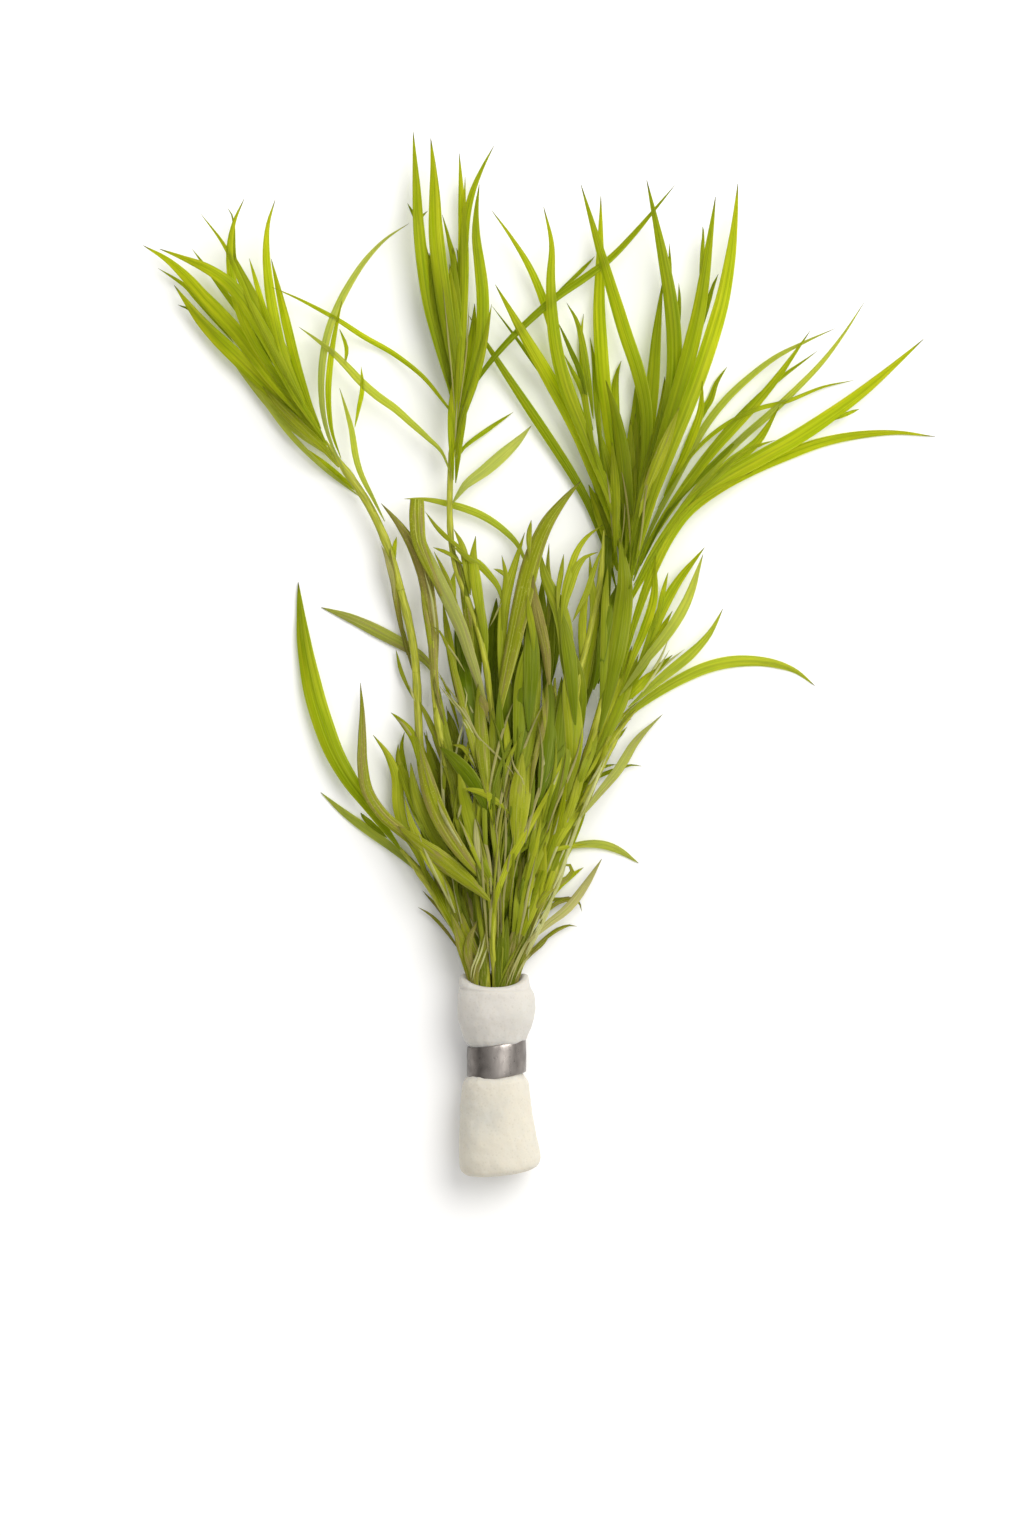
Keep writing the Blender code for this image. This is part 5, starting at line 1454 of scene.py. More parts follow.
# %% Routes of the leaves on top: width, age, then tip to base in millimetres
LEAVES_OVER = {
    "left": (
        (1.4, 0, (-45.5, 67), (-43, 56), (-41.2, 49), (-39, 42.5), (-37, 38)),
        (1.5, 0.5, (-47, 45.5), (-44, 42), (-40.5, 38.5), (-36.8, 35), (-34, 31.5)),
        (0.8, 0.2, (-57.5, 74.7), (-53.5, 69.3), (-51, 64), (-48, 57), (-44, 49), (-40, 42)),
        (0.8, 0.1, (-49.3, 67.2), (-48.5, 64.5), (-47.5, 61), (-46.5, 58), (-44, 51)),
        (0.9, 0, (-33.5, 60), (-35, 53), (-35.8, 45), (-35.2, 38), (-33.6, 33)),
        (0.7, 0.1, (-30.3, 48.8), (-30.1, 45), (-30.8, 41.5), (-31.4, 38.5)),
        (0.6, 0.3, (-33, 49), (-32.8, 52), (-34, 55.2)),
        (0.7, 0.2, (-24.3, 20), (-24.7, 18), (-24.5, 16)),
    ),
    "middle": (
        (1.2, 0.1, (-12.7, 81), (-12.9, 72), (-12.9, 62), (-13.4, 52), (-14, 42), (-14.9, 33)),
        (0.8, 0.2, (-45.4, 62.1), (-40, 59.8), (-34.5, 56.8), (-30, 54), (-25, 51.2), (-20, 47.2),
            (-16.6, 43), (-15, 40.6), (-14.5, 37)),
        (0.7, 0, (-4.5, 41.3), (-9, 38.2), (-13, 35), (-14.3, 32)),
        (1.1, 0.3, (-12.2, 44.5), (-13, 40), (-13.7, 35.5), (-14.3, 29)),
        (1, 0.1, (-14.6, 47), (-15, 41.5), (-15, 36), (-14.7, 29.5)),
        (0.25, 1.6, (-14, 43), (-14.2, 39), (-14.4, 33.6)),
        (0.25, 1.7, (-13, 42), (-13.7, 38), (-14.1, 33)),
        (0.25, 1.4, (-16.4, 62), (-15.6, 54), (-14.8, 46), (-14.4, 40)),
        (0.25, 1.3, (-12, 60), (-12.4, 52), (-13.2, 45), (-14, 39)),
        (1, 0.1, (-8.2, 59.3), (-9.5, 52), (-11, 46), (-13, 40), (-14.6, 34)),
    ),
    "right": (
        (1, 0.1, (7.4, 58), (7, 54), (7.2, 50), (7.4, 45), (8.4, 38), (9.8, 31)),
        (0.9, 0.1, (8.5, 54), (9.2, 49.5), (9.5, 45), (10, 38), (10.8, 31)),
        (1.3, 0, (13.8, 50), (13, 47.5), (12.7, 44), (12.9, 38), (13.5, 30)),
        (1, 0, (31.8, 49), (30, 46.3), (29, 43.5), (27.5, 41), (24, 34)),
        (1.2, 0, (27.3, 46), (27.2, 43), (26.8, 40), (24.5, 34), (21, 27)),
        (1.6, 0.5, (23.4, 41.5), (21.8, 37.5), (20, 33), (18.2, 28.5), (16.6, 23)),
        (0.6, 0.1, (9.3, 67.7), (6, 64.3), (2.9, 61.6)),
        (1.3, 0.3, (12.2, 36), (12.6, 30), (12.8, 24), (12.6, 17)),
        (1.1, 0.35, (16.2, 36), (15.8, 30), (15.2, 23.5), (14.2, 16)),
        (0.9, 0.1, (18.8, 34), (17.6, 29), (16.4, 23.6), (15, 16.5)),
        (0.25, 1.3, (14.2, 35), (14.4, 29), (14.2, 23), (13.6, 18)),
        (0.25, 1.4, (11.2, 31), (11.8, 26), (12.2, 20)),
        (0.25, 1.4, (20.6, 36.6), (18.6, 31), (16.8, 25)),
    ),
    "sweep": (
        (0.7, 0.2, (53.4, 46.7), (48, 45.5), (42, 43), (36.5, 41.5), (30, 38), (25, 33), (20, 25)),
        (1.4, 0, (40.5, 42), (37.5, 37), (35, 34.5), (31, 31.5), (25, 25)),
        (0.6, 0.1, (54.2, 41.7), (52, 40.8), (50, 39.8)),
        (0.6, 0.1, (40, 36.5), (37, 35.5), (34, 34), (29, 30)),
        (1.4, 0, (36, 31), (31, 28.4), (26, 25), (22, 20), (19, 14), (16.8, 8), (15, 2),
            (13.6, -4)),
    ),
    "lower_right": (
        (1.3, 0, (19.3, 16.5), (19.1, 9.4), (17.4, 3.8), (15.8, 0), (13.7, -6)),
        (0.8, 0.1, (21.7, 14), (20.8, 10.5), (20, 7), (18.5, 3)),
        (0.9, 0.2, (7.4, -36.1), (5.9, -37.1), (3, -39.5), (0, -44)),
        (0.9, 0.75, (3.4, -36.4), (3.9, -35.5), (5, -35.6), (5.4, -36.6), (4.6, -37.8), (2.6, -38.9),
            (0.5, -41), (-2, -45)),
        (1.2, 0, (4.5, -21), (3.6, -26), (2.2, -31), (0.2, -37), (-2, -43)),
    ),
    "lower_left": (
        (1.2, 0.4, (-25.3, -9.8), (-23.5, -11.3), (-21.3, -14.3), (-20.4, -19)),
        (1.1, 0.3, (-24.1, -15.2), (-24, -18), (-22.8, -22), (-21, -27)),
        (1.4, 0.5, (-23, -24), (-21.5, -29), (-19, -34), (-15.5, -40), (-12.6, -46)),
        (1.1, 0.4, (-19.5, -36), (-17.5, -40), (-15, -45), (-12.3, -50.5)),
        (2.6, 0.6, (-24, -29), (-19, -33), (-13, -37.5), (-8.4, -41.6)),
        (1.3, 0.7, (-13.5, -43), (-12.6, -46.5), (-11.2, -49.5), (-9.6, -53.6)),
    ),
    "inner": (
        (0.7, 0.5, (-19.5, 24.3), (-17.7, 21.8), (-15.9, 19.9), (-14.3, 18.6), (-12.6, 16.9),
            (-11, 15.6)),
        (1.1, 0.2, (-14.8, 18.3), (-12.6, 16.6), (-10.4, 15.3), (-8.4, 13.2), (-7, 11.2),
            (-6.2, 8)),
        (2.2, 0.7, (-20.8, 26.2), (-20.8, 22.6), (-20.4, 19), (-18.6, 14.4), (-16.6, 9.8)),
        (0.9, 1, (-25.4, 18), (-24.9, 13), (-24.3, 9), (-23.6, 5), (-22.6, 0)),
        (0.6, 0.5, (-18.2, 18.2), (-15.3, 17), (-12.8, 15)),
        (0.6, 0.6, (-18, 17.5), (-15.3, 12), (-13.8, 8)),
        (0.9, 0.3, (-6.5, 16.8), (-5.8, 13), (-6.2, 9), (-6.4, 4)),
        (0.7, 0.5, (-7.9, 14.5), (-6, 13.6), (-5, 11.5)),
        (0.8, 0.6, (-1.5, 22.7), (-1.9, 20), (-1.8, 16)),
        (0.8, 0.5, (4, 17), (3.5, 13.5), (3.1, 11), (2.9, 7)),
        (1, 0.1, (10.6, 22), (8, 20), (6.2, 17.4), (5, 14), (4, 10.4), (3.5, 5)),
        (0.7, 0.5, (-15, -15.3), (-13.2, -15.6), (-12, -17), (-11, -19.3)),
        (2.2, 0.5, (-3, -16.4), (-3.4, -20), (-3.9, -24), (-4.1, -28), (-4.2, -33)),
    ),
}

# %% Routes of the leaves underneath: width, age, height of tip and base, then tip to base
LEAVES_UNDER = {
    "left": (
        (0.6, 0.3, 2.5, 3, (-53, 75.8), (-52, 73.5), (-51.6, 66), (-48, 56)),
        (0.7, 0.2, 2.5, 3, (-52, 69), (-50, 61), (-46, 52)),
        (0.7, 0.2, 2, 2.5, (-64.8, 65.6), (-60.5, 62.8), (-58.8, 61), (-52, 53)),
        (0.6, 0.3, 2, 2.5, (-61.5, 59.4), (-58.3, 57.8), (-53, 51.5)),
        (0.8, 0.1, 2.5, 3, (-59, 68.8), (-56.5, 65.5), (-51, 58), (-45, 49)),
        (1.6, 0.3, 1.6, 2.4, (-56, 60), (-50, 53), (-44, 45.5), (-38, 38)),
    ),
    "middle": (
        (1.2, 0.2, 2, 2.5, (-16.6, 74.7), (-15.5, 70.5), (-14.5, 65.5), (-14, 55), (-14.2, 44)),
        (1, 0.2, 2, 2.5, (-14.2, 69), (-13.8, 67), (-13.4, 58), (-13.8, 46)),
        (1.6, 0.2, 2.4, 2.8, (-18, 66), (-16.8, 58), (-15.4, 49), (-14.6, 41)),
        (0.5, 0.4, 3.5, 4, (-22.5, 76.5), (-21.2, 74), (-20.4, 71)),
        (0.5, 0.4, 3.5, 4, (-19, 75.2), (-20, 74.3), (-20.4, 72)),
    ),
    "right": (
        (0.8, 0.1, 2.5, 3, (-8.2, 59.2), (-5, 55), (-1, 49.5), (3, 44), (7, 37), (10.4, 29),
            (12, 21)),
        (0.6, 0.2, 3, 3, (23.5, 63), (23.6, 59), (23, 50)),
        (1, 0.2, 2.5, 2.8, (4.5, 59.7), (6.5, 55.8), (8, 48), (9, 40)),
        (0.8, 0.2, 2.5, 2.8, (3, 56.5), (5, 52), (7, 47), (8.6, 38)),
        (0.8, 0.1, 2.5, 2.8, (4, 51), (5.5, 48), (7, 45), (9, 38)),
        (0.6, 0.3, 4, 3.5, (27.5, 72.5), (27.6, 70.5), (27, 62)),
        (0.7, 0.3, 3.5, 3.5, (30.2, 64.5), (29, 61.5), (27, 54)),
        (0.6, 0.3, 3, 3, (21.9, 69.8), (22, 64), (21.5, 55)),
        (1.8, 0.1, 2, 2.5, (16.8, 50), (16.4, 42), (15.6, 34), (15.2, 25), (14.6, 16)),
        (1.8, 0.2, 2, 2.5, (5, 41), (8, 34), (10.6, 27), (11.6, 20), (11.6, 12)),
        (1.8, 0.1, 2, 2.5, (23, 41), (20.5, 34), (17.8, 27), (15.8, 20), (14.6, 12)),
    ),
    "sweep": (
        (0.8, 0.1, 2.2, 3, (46, 47), (38, 40), (30, 33), (22, 24.5), (17, 15)),
        (0.8, 0.1, 2.2, 3, (47, 51.5), (39, 45.5), (31, 37.5), (24, 28.5)),
    ),
    "lower_right": (
        (0.9, 0.2, 1, 2.2, (22.5, 0), (19.8, -2.5), (15.5, -7.5)),
        (0.7, 0.3, 1, 2.2, (14.8, -12.2), (13, -14.2), (11, -15.5), (8.6, -19)),
        (0.6, 0.4, 0.8, 2.2, (17.3, -18.9), (15.5, -18.7), (13, -19.4), (10, -20.6), (7, -22.3),
            (4.4, -26)),
        (0.5, 0.4, 0.8, 2, (13, -18.6), (10.8, -19), (8.6, -20.5)),
        (0.6, 0.8, 1, 2.4, (6.3, -46.1), (5, -45.9), (3, -46.6), (1, -48), (-1.5, -50)),
        (0.7, 0.8, 1, 2.4, (7.1, -43.6), (6.8, -42.4), (6.2, -41.5), (3, -42), (-1, -45.5)),
        (0.6, 0.7, 1, 2.4, (5, -41), (3.5, -41.5), (1, -41.5), (-0.5, -41.8)),
        (0.8, 0.9, 1.5, 3, (1.6, -47.6), (0.5, -48.8), (-1.5, -50.5), (-3.5, -53)),
        (1.4, 0.2, 1.4, 3, (12.6, -12), (9.6, -18), (6.4, -25), (3.2, -32), (-0.6, -40)),
        (1.4, 0.3, 1.2, 3, (8.6, -24), (6, -30), (3, -36), (-0.4, -42.6), (-3.4, -49)),
    ),
    "lower_left": (
        (0.6, 0.8, 1, 2, (-24.5, 9), (-24, 6), (-23, 3), (-21.6, -3)),
        (0.6, 0.5, 1, 2, (-24.5, 1), (-23.5, -3), (-21.5, -7.5)),
        (0.8, 0.3, 1, 2, (-23, -13), (-23.5, -16), (-22.6, -21), (-21, -26)),
        (0.9, 0.3, 0.6, 1.8, (-30.5, -26.8), (-29.5, -28), (-26, -31)),
        (0.5, 0.9, 1, 3, (-20.8, -42.8), (-18.5, -44.2), (-16, -46.8), (-13, -51)),
        (0.5, 0.9, 0.8, 2.5, (-20, -40), (-17, -43.3), (-14.4, -47.4)),
        (1.8, 0.3, 1.2, 3, (-21, -27), (-18.6, -33), (-15.6, -39), (-12.4, -46), (-10, -52)),
        (1.6, 0.5, 1.2, 3, (-18.4, -32), (-15.6, -38.5), (-12.8, -45), (-10.6, -51.5)),
    ),
    "inner": (
        (1.8, 0.6, 3, 4, (-11.8, -38.5), (-12, -42), (-11.5, -46), (-10.8, -50)),
        (2, 0.5, 3, 4, (-3.5, -33), (-4.3, -39), (-5.3, -45), (-6.2, -50.5)),
        (1.2, 0.2, 6.5, 6, (-14.5, 14), (-14.8, 11.4), (-14.8, 8.6), (-14.4, 5)),
        (2.4, 0.4, 2, 3, (-15, -19), (-13.4, -26), (-11.8, -33), (-10.4, -40), (-9.4, -47)),
        (2.4, 0.3, 2, 3, (-6, -19), (-6.2, -26), (-6.6, -33), (-7, -40), (-7.4, -47)),
        (2.4, 0.2, 2, 3, (-1.4, -17), (-1.8, -24), (-2.6, -31), (-3.8, -38), (-5.2, -45)),
        (2.2, 0.1, 2, 3, (4.6, -18), (3, -25), (1.2, -32), (-1, -39), (-3.6, -46)),
    ),
}

# %% Grow them group by group
# Leaves underneath are given deeper green: painted shade from the leaves over them
UNDER_SHADES = (0.2, 0.7)

for group in LEAVES_OVER:
    strips = [
        strip(f"{group} under {number}", tuck(points, low, high), width * MM, age, UNDER_SHADES)
        for number, (width, age, low, high, *points) in enumerate(LEAVES_UNDER.get(group, ()))
    ]
    strips += [
        strip(f"{group} over {number}", lay(points, width * MM), width * MM, age, SHADES[group])
        for number, (width, age, *points) in enumerate(LEAVES_OVER[group])
    ]
    leaves(f"small_leaves_{group}", strips, pressed=group == "inner")

# %% [markdown]
# Where leaves were torn off, shreds of their bases stay on the stems. They have lost their green
# and are thin as tissue, so they catch the light as pale lines. The widest crowd at the mouth of
# the foam, and hairs of them stand out along both sides of the bunch.

# %% Routes of the bleached shreds: width, age, then end to root in millimetres
SHREDS = (
    (0.5, 2, (1.8, -41), (0, -45.4), (-2.2, -50), (-3.6, -52.5)),
    (0.5, 1.9, (2.6, -38), (1.6, -42.5), (-0.4, -47), (-3.2, -52.6)),
    (0.5, 2, (4.8, -33.5), (3.4, -38), (1.2, -42.8), (-1.4, -47.8)),
    (0.45, 2, (7.2, -27), (5.4, -31.5), (3.6, -36.4), (1.2, -41.6)),
    (0.45, 1.9, (9.6, -20.4), (7.8, -25), (5.8, -30), (3.8, -35)),
    (0.4, 2, (12.2, -15.4), (10.4, -19), (8.6, -23.4), (6.4, -28.6)),
    (0.35, 1.9, (10.2, -16.2), (9, -18.6), (7.6, -20.8), (6.2, -22.6)),
    (0.35, 2, (10.8, -17.4), (9.8, -19.4), (8.6, -21.4), (7.2, -23.4)),
    (0.3, 2, (5.4, -29.4), (4.5, -31.8), (3.5, -34.2), (2.6, -36.4)),
    (0.3, 2, (2.3, -34.6), (1.6, -36.2), (1, -37.8), (0.2, -39.6)),
    (0.3, 1.9, (-0.7, -37.4), (-1.4, -39.4), (-1.9, -42), (-2, -45)),
    (0.25, 1.9, (-2.1, -38.2), (-2.8, -40), (-2.5, -41.8), (-3.5, -43.6), (-4.3, -45.6)),
    (0.25, 1.9, (0.7, -42), (-0.6, -45), (-1.4, -47), (-2.4, -49)),
    (0.4, 2, (3.2, -27), (2, -31.5), (0.2, -36.4), (-1.6, -41.4)),
    (0.4, 1.9, (5.6, -25.4), (4, -29.6), (2.2, -34), (0.4, -38.6)),
    (0.35, 1.8, (3.2, -19.6), (2.6, -21), (2, -22.4), (1.2, -24)),
    (0.3, 1.7, (0.6, -17), (0.6, -18.4), (0.5, -19.8)),
    (0.35, 1.5, (-5, -16.8), (-4.3, -19.2), (-3.1, -21), (-2.4, -23.6)),
    (0.4, 1.7, (-13.2, -24.8), (-13.5, -26.2), (-13.9, -27.8)),
    (0.3, 1.4, (-13.9, -27.4), (-12.9, -29.4), (-12.2, -31.2), (-11, -33.8)),
    (0.3, 1.7, (-16.4, -24.4), (-16, -23.6), (-15.4, -23.4), (-15.1, -24.2), (-15.3, -25.2)),
    (0.5, 1.6, (-17.4, -24.6), (-16.4, -27), (-15, -29.6), (-13.4, -32.4)),
    (0.35, 1.8, (-16.5, -26.8), (-15.4, -28.8), (-14.2, -30.8), (-12.8, -33)),
    (0.45, 1.8, (-20.6, -30), (-18.6, -35), (-16.2, -40), (-14, -44.6)),
    (0.3, 1.9, (-16.5, -37), (-15.9, -39), (-15, -42), (-13.6, -45.6), (-13, -47.6)),
    (0.25, 1.9, (-11.9, -44.4), (-11.1, -46.4), (-10.2, -48.2)),
    (0.35, 1.6, (-10.9, -41), (-10.4, -43.6), (-10, -46.4)),
    (0.3, 1.9, (-17.3, -5), (-15.5, -7.2), (-13.4, -9.8), (-12, -12.2), (-10.8, -14.4)),
    (0.25, 1.9, (-13.4, -10.8), (-12.3, -12.4), (-11.2, -14.2)),
    (0.25, 1.8, (-12.9, -5.4), (-12.4, -6.8), (-12.6, -8.6), (-12.9, -9.6)),
    (0.25, 1.9, (-12, -8.4), (-11.4, -9.8), (-10.4, -11.2)),
    (0.3, 1.5, (-16.9, 3.6), (-15.4, 1.2), (-14, -0.8), (-12.7, -3)),
    (0.3, 1.8, (-12.2, -16.4), (-11.6, -17.6), (-10.8, -19.4)),
    (0.3, 1.6, (-6, 9.4), (-6.9, 8), (-7.7, 6.3), (-8.5, 4.8)),
    (0.4, 1.8, (-19.6, 14), (-18.4, 9.6), (-17.8, 5), (-17.4, 0)),
    (0.35, 1.7, (-22.2, -5), (-21.6, -6.8), (-20.9, -8.4)),
    (0.4, 1.4, (-24.6, -10.6), (-23.2, -11.8), (-22, -13.4), (-21, -15)),
    (0.4, 2, (24.6, 1), (22, -1), (19.6, -3.2), (16.4, -6.4)),
    (0.4, 1.9, (21.6, 2.5), (20.2, -0.8), (18.2, -4), (15.6, -7.6)),
    (0.35, 1.9, (21.9, 0.8), (20.6, -1.3), (18.6, -4.4), (16, -8)),
    (0.3, 1.3, (18.4, 31), (17.6, 25.6), (17, 20), (16.2, 14.6)),
    (0.3, 1.2, (13.4, 33), (14.4, 27.6), (15, 22), (15.2, 16.4)),
    (0.8, 1.4, (-26.9, 18.5), (-26, 16.4), (-25.1, 13), (-24.6, 9)),
)

# %% Leaf bases in the mouth: width, age, depth of green with painted shade of the mouth, height of end and root, then the route
BASES_IN_MOUTH = (
    (1.5, 0.8, 0.3, 8.2, 7.8, (-15.2, -43.4), (-14, -46.6), (-13.2, -49.4), (-12.3, -52.4),
        (-11.4, -57)),
    (1.2, 0.9, 0.5, 8.8, 8.4, (-10.6, -45), (-11.8, -47.6), (-12.2, -50.4), (-11.5, -53.6),
        (-10.9, -58)),
    (1.1, 0.8, 0.5, 9.2, 9, (-8.9, -45.4), (-9.4, -48.8), (-10.5, -51.6), (-10.9, -54.4),
        (-10.5, -58)),
    (1.2, 0.6, 0.9, 8.9, 8.9, (-9.2, -50), (-9.5, -52.4), (-9.6, -55), (-9.5, -58)),
    (0.9, 0.4, 1, 8.6, 9.1, (-6.8, -45.4), (-7.1, -49.6), (-7.2, -54), (-7.3, -58)),
    (1.5, 0.4, 0.9, 8.8, 8.9, (-5.6, -44), (-6, -48.4), (-6.3, -52.8), (-6.5, -58)),
    (1.5, 0.8, 0.9, 8.4, 8.7, (-3.4, -43.6), (-4.4, -48), (-5.3, -52.2), (-5.9, -58)),
    (1.3, 0.6, 1, 8, 8.2, (-1.4, -44.6), (-2.8, -48.8), (-4.2, -52.6), (-5.1, -58)),
    (1.2, 0.9, 0.7, 8, 7.6, (0.4, -44.6), (-1.6, -48.6), (-3.4, -52.4), (-4.4, -57)),
    (0.3, 1.6, 0, 9.2, 9.2, (-1.8, -47.5), (-3.2, -50), (-4.6, -53), (-5.8, -56)),
    (0.35, 1.5, 0, 9, 9, (-0.8, -46.4), (-2.6, -49.4), (-4.1, -52.6), (-5.2, -56)),
    (0.3, 0.5, 0.5, 9.4, 9.4, (-3.6, -48.6), (-5, -51.4), (-6.3, -54), (-7, -56)),
    (0.25, 0.9, 0.6, 9.3, 9.3, (-2.6, -47.4), (-4.1, -50.6), (-5.6, -53.6), (-6.6, -56)),
    (0.35, 1.7, 0, 8.8, 8.6, (-1.5, -50.4), (-3, -52.4), (-4.2, -54.8)),
    (0.3, 1.9, 0, 9.8, 9.6, (-9.2, -47), (-9.9, -50), (-10.9, -52.6), (-11.4, -55)),
    (0.3, 1.9, 0, 9.8, 9.5, (-10, -48.2), (-10.6, -50.6), (-11.5, -52.8), (-11.7, -54.6)),
    (0.3, 1.9, 0, 9.8, 9.6, (-8.9, -49.4), (-9.6, -51.4), (-10.4, -53.6)),
)

# %% Lay the shreds over everything, and run the bases down into the mouth
shreds = [
    strip(f"shred {number}", lay(points, width * MM), width * MM, age)
    for number, (width, age, *points) in enumerate(SHREDS)
]
# The deeper green of the bases inside the mouth is partly painted shade of the mouth
shreds += [
    strip(f"base {number}", tuck(points, high, low), width * MM, age, (deep, deep))
    for number, (width, age, deep, high, low, *points) in enumerate(BASES_IN_MOUTH)
]
leaves("shreds", shreds, pressed=True)

# %% [markdown]
# ## The foam sleeve
#
# The growers wrap the cut ends in a strip of soft foam, so that the lead doesn't crush them. The
# foam is full and round above the lead, pinched under it, and flares out again below. Its mouth
# has a rolled lip, set back on the upper side, so that one sees a little way in from above.
#
# A turned shape would be too regular. This one is a loft: rings at measured places, each as wide
# as the foam is there, with folds that run out from the pinch and soft lumps all over.

# %% Rings of the foam: distance along, left, right, lowest and highest, in millimetres
FOAM_OUTSIDE = (
    (-54, -12.7, -2.7, 1.6, 9.7), (-54.2, -13.3, -2.1, 0.8, 10.5), (-55.2, -13.7, -1.8, 0.3, 11),
    (-56.4, -13.6, -1.6, 0.15, 11.1), (-57.6, -13.9, -1, 0, 11.5), (-59.5, -14, -0.8, 0, 11.8),
    (-61.5, -13.8, -1.1, 0, 11.7), (-63.5, -13.3, -1.7, 0.1, 11.2), (-65.2, -12.7, -2.5, 0.7, 10.5),
    (-66.2, -11.9, -3.1, 1.5, 9.8), (-67.5, -11.5, -3.4, 1.8, 9.5), (-70, -11.6, -3.3, 1.8, 9.5),
    (-71.2, -12.1, -2.8, 1.4, 9.9), (-72.2, -12.9, -2.1, 0.7, 10.6), (-74, -13.3, -1.7, 0.3, 10.9),
    (-77, -13.5, -1.5, 0.1, 11.1), (-80, -13.6, -1, 0, 11.4), (-83.5, -13.7, -0.2, 0, 11.9),
    (-85.5, -13.7, 0.1, 0, 12.1), (-86.6, -13.4, -0.2, 0.1, 11.9), (-87.1, -12.6, -1, 0.8, 11.2),
)
FOAM_INSIDE = (
    (-87, -11.6, -2.2, 1.8, 10.2), (-86.2, -10.7, -3.2, 2.6, 9.2), (-83, -10.4, -3.7, 2.8, 8.8),
    (-74, -10.5, -4.2, 2.8, 8.7), (-63, -10.8, -4.5, 2.8, 8.7), (-57, -11.2, -4, 2.5, 9),
    (-54.8, -11.8, -3.5, 2.1, 9.2),
)
FOAM_AROUND = 144
OUTSIDE_STEP = 0.3
INSIDE_STEP = 0.8
INSIDE_LUMPS = 0.5
SQUARENESS = 2.25
END_BULGE = 0.7
END_REACH = 4
END_SLOPE = 0.1
MOUTH_DIP = 2.1
MOUTH_REACH = 3
PINCH_Y = (-66.3, -71.3)
PINCH_REACH = 2.6
PINCH_FOLDS = 11
FOLD_DEPTH = 0.01
LUMP_HEIGHT = 0.22
LUMP_SCALE = 0.32
SMALL_LUMP_SCALE = 0.9
SMALL_LUMPS = 0.45


def between_rings(rings, step):
    """More rings between the measured ones, on smooth curves through them."""
    known = [Vector(ring) for ring in (rings[0], *rings, rings[-1])]
    fine = []
    for near in zip(known, known[1:], known[2:], known[3:]):
        pieces = max(2, round(abs(near[2][0] - near[1][0]) / step))
        fine += [curve_point(*near, piece / pieces) for piece in range(pieces)]
    return fine


def foam_point(ring, angle, lumps):
    """A point of the foam: on which ring, how far round it, and how lumpy the foam is there."""
    y, left, right, low, high = ring
    cosine, sine = math.cos(angle), math.sin(angle)
    power = 2 / SQUARENESS
    across = math.copysign(abs(cosine) ** power, cosine) * (right - left) / 2
    up = math.copysign(abs(sine) ** power, sine) * (high - low) / 2
    near_pinch = min(abs(y - PINCH_Y[0]), abs(y - PINCH_Y[1]))
    # The second sine sets the folds unevenly round the pinch
    folds = math.sin(angle * PINCH_FOLDS + 2.0 * math.sin(angle * 3))
    folds *= math.exp(-(near_pinch / PINCH_REACH) ** 2)
    swell = 1 - FOLD_DEPTH * folds * lumps
    middle = (left + right) / 2
    spot = Vector((middle + across * swell, y, (low + high) / 2 + up * swell))
    low_end = max(0.0, 1 - abs(y - FOAM_OUTSIDE[-1][0]) / END_REACH)
    mouth = max(0.0, 1 - abs(y - FOAM_OUTSIDE[0][0]) / MOUTH_REACH)
    spot.y += across * END_SLOPE * low_end
    spot.y -= max(0.0, sine) * (END_BULGE * low_end + MOUTH_DIP * mouth)
    soft = noise.noise(spot * LUMP_SCALE) + SMALL_LUMPS * noise.noise(spot * SMALL_LUMP_SCALE)
    outward = Vector((across, 0, up)).normalized()
    spot += outward * soft * LUMP_HEIGHT * lumps
    spot.z = max(spot.z, 0.0)
    return spot * MM


def mesh_from_rows(name, rows, closed):
    """A smooth mesh over rows of points. Where it is closed, every row is a ring, and the last
    ring joins the first."""
    form = bmesh.new()
    rows = [[form.verts.new(point) for point in row] for row in rows]
    if closed:
        rows = [[*row, row[0]] for row in rows]
        rows.append(rows[0])
    for row, following in zip(rows, rows[1:]):
        for corners in zip(row, row[1:], following[1:], following):
            form.faces.new(corners)
    bmesh.ops.recalc_face_normals(form, faces=form.faces)
    mesh = bpy.data.meshes.new(name)
    form.to_mesh(mesh)
    form.free()
    mesh.shade_smooth()
    return mesh


outside = [(ring, 1.0) for ring in between_rings(FOAM_OUTSIDE, OUTSIDE_STEP)]
lining = (FOAM_OUTSIDE[-1], *FOAM_INSIDE, FOAM_OUTSIDE[0])
inside = [(ring, INSIDE_LUMPS) for ring in between_rings(lining, INSIDE_STEP)]
foam_rings = [
    [foam_point(ring, math.tau * turn / FOAM_AROUND, lumps) for turn in range(FOAM_AROUND)]
    for ring, lumps in outside + inside
]
print("foam rings:", len(outside), "outside and", len(inside), "inside")

# %% [markdown]
# Real foam scatters light a little way in, so its shaded side stays soft. The finish has some
# subsurface light, a cream tone below the lead, some greyer patches, and a fine open grain in its
# relief.

# %% The foam finish
FOAM_LIGHT = (0.60, 0.575, 0.53, 1)
FOAM_CREAM = (0.65, 0.61, 0.505, 1)
FOAM_GREY = (0.56, 0.555, 0.51, 1)
DARK_PIT = (0.7, 0.68, 0.62, 1)
FOAM_GRAIN = 0.035 * MM
# Along the sleeve, where the foam starts to be yellowed and where it is so all over
CREAM_FROM, CREAM_TO = -66 * MM, -74 * MM
CREAM_SHARE = 0.75
FOAM_SURFACE = {
    "Roughness": 0.85, "Specular IOR Level": 0.25, "Subsurface Weight": 0.45,
    "Subsurface Radius": (1.0, 0.85, 0.65), "Subsurface Scale": 2.0 * MM,
}


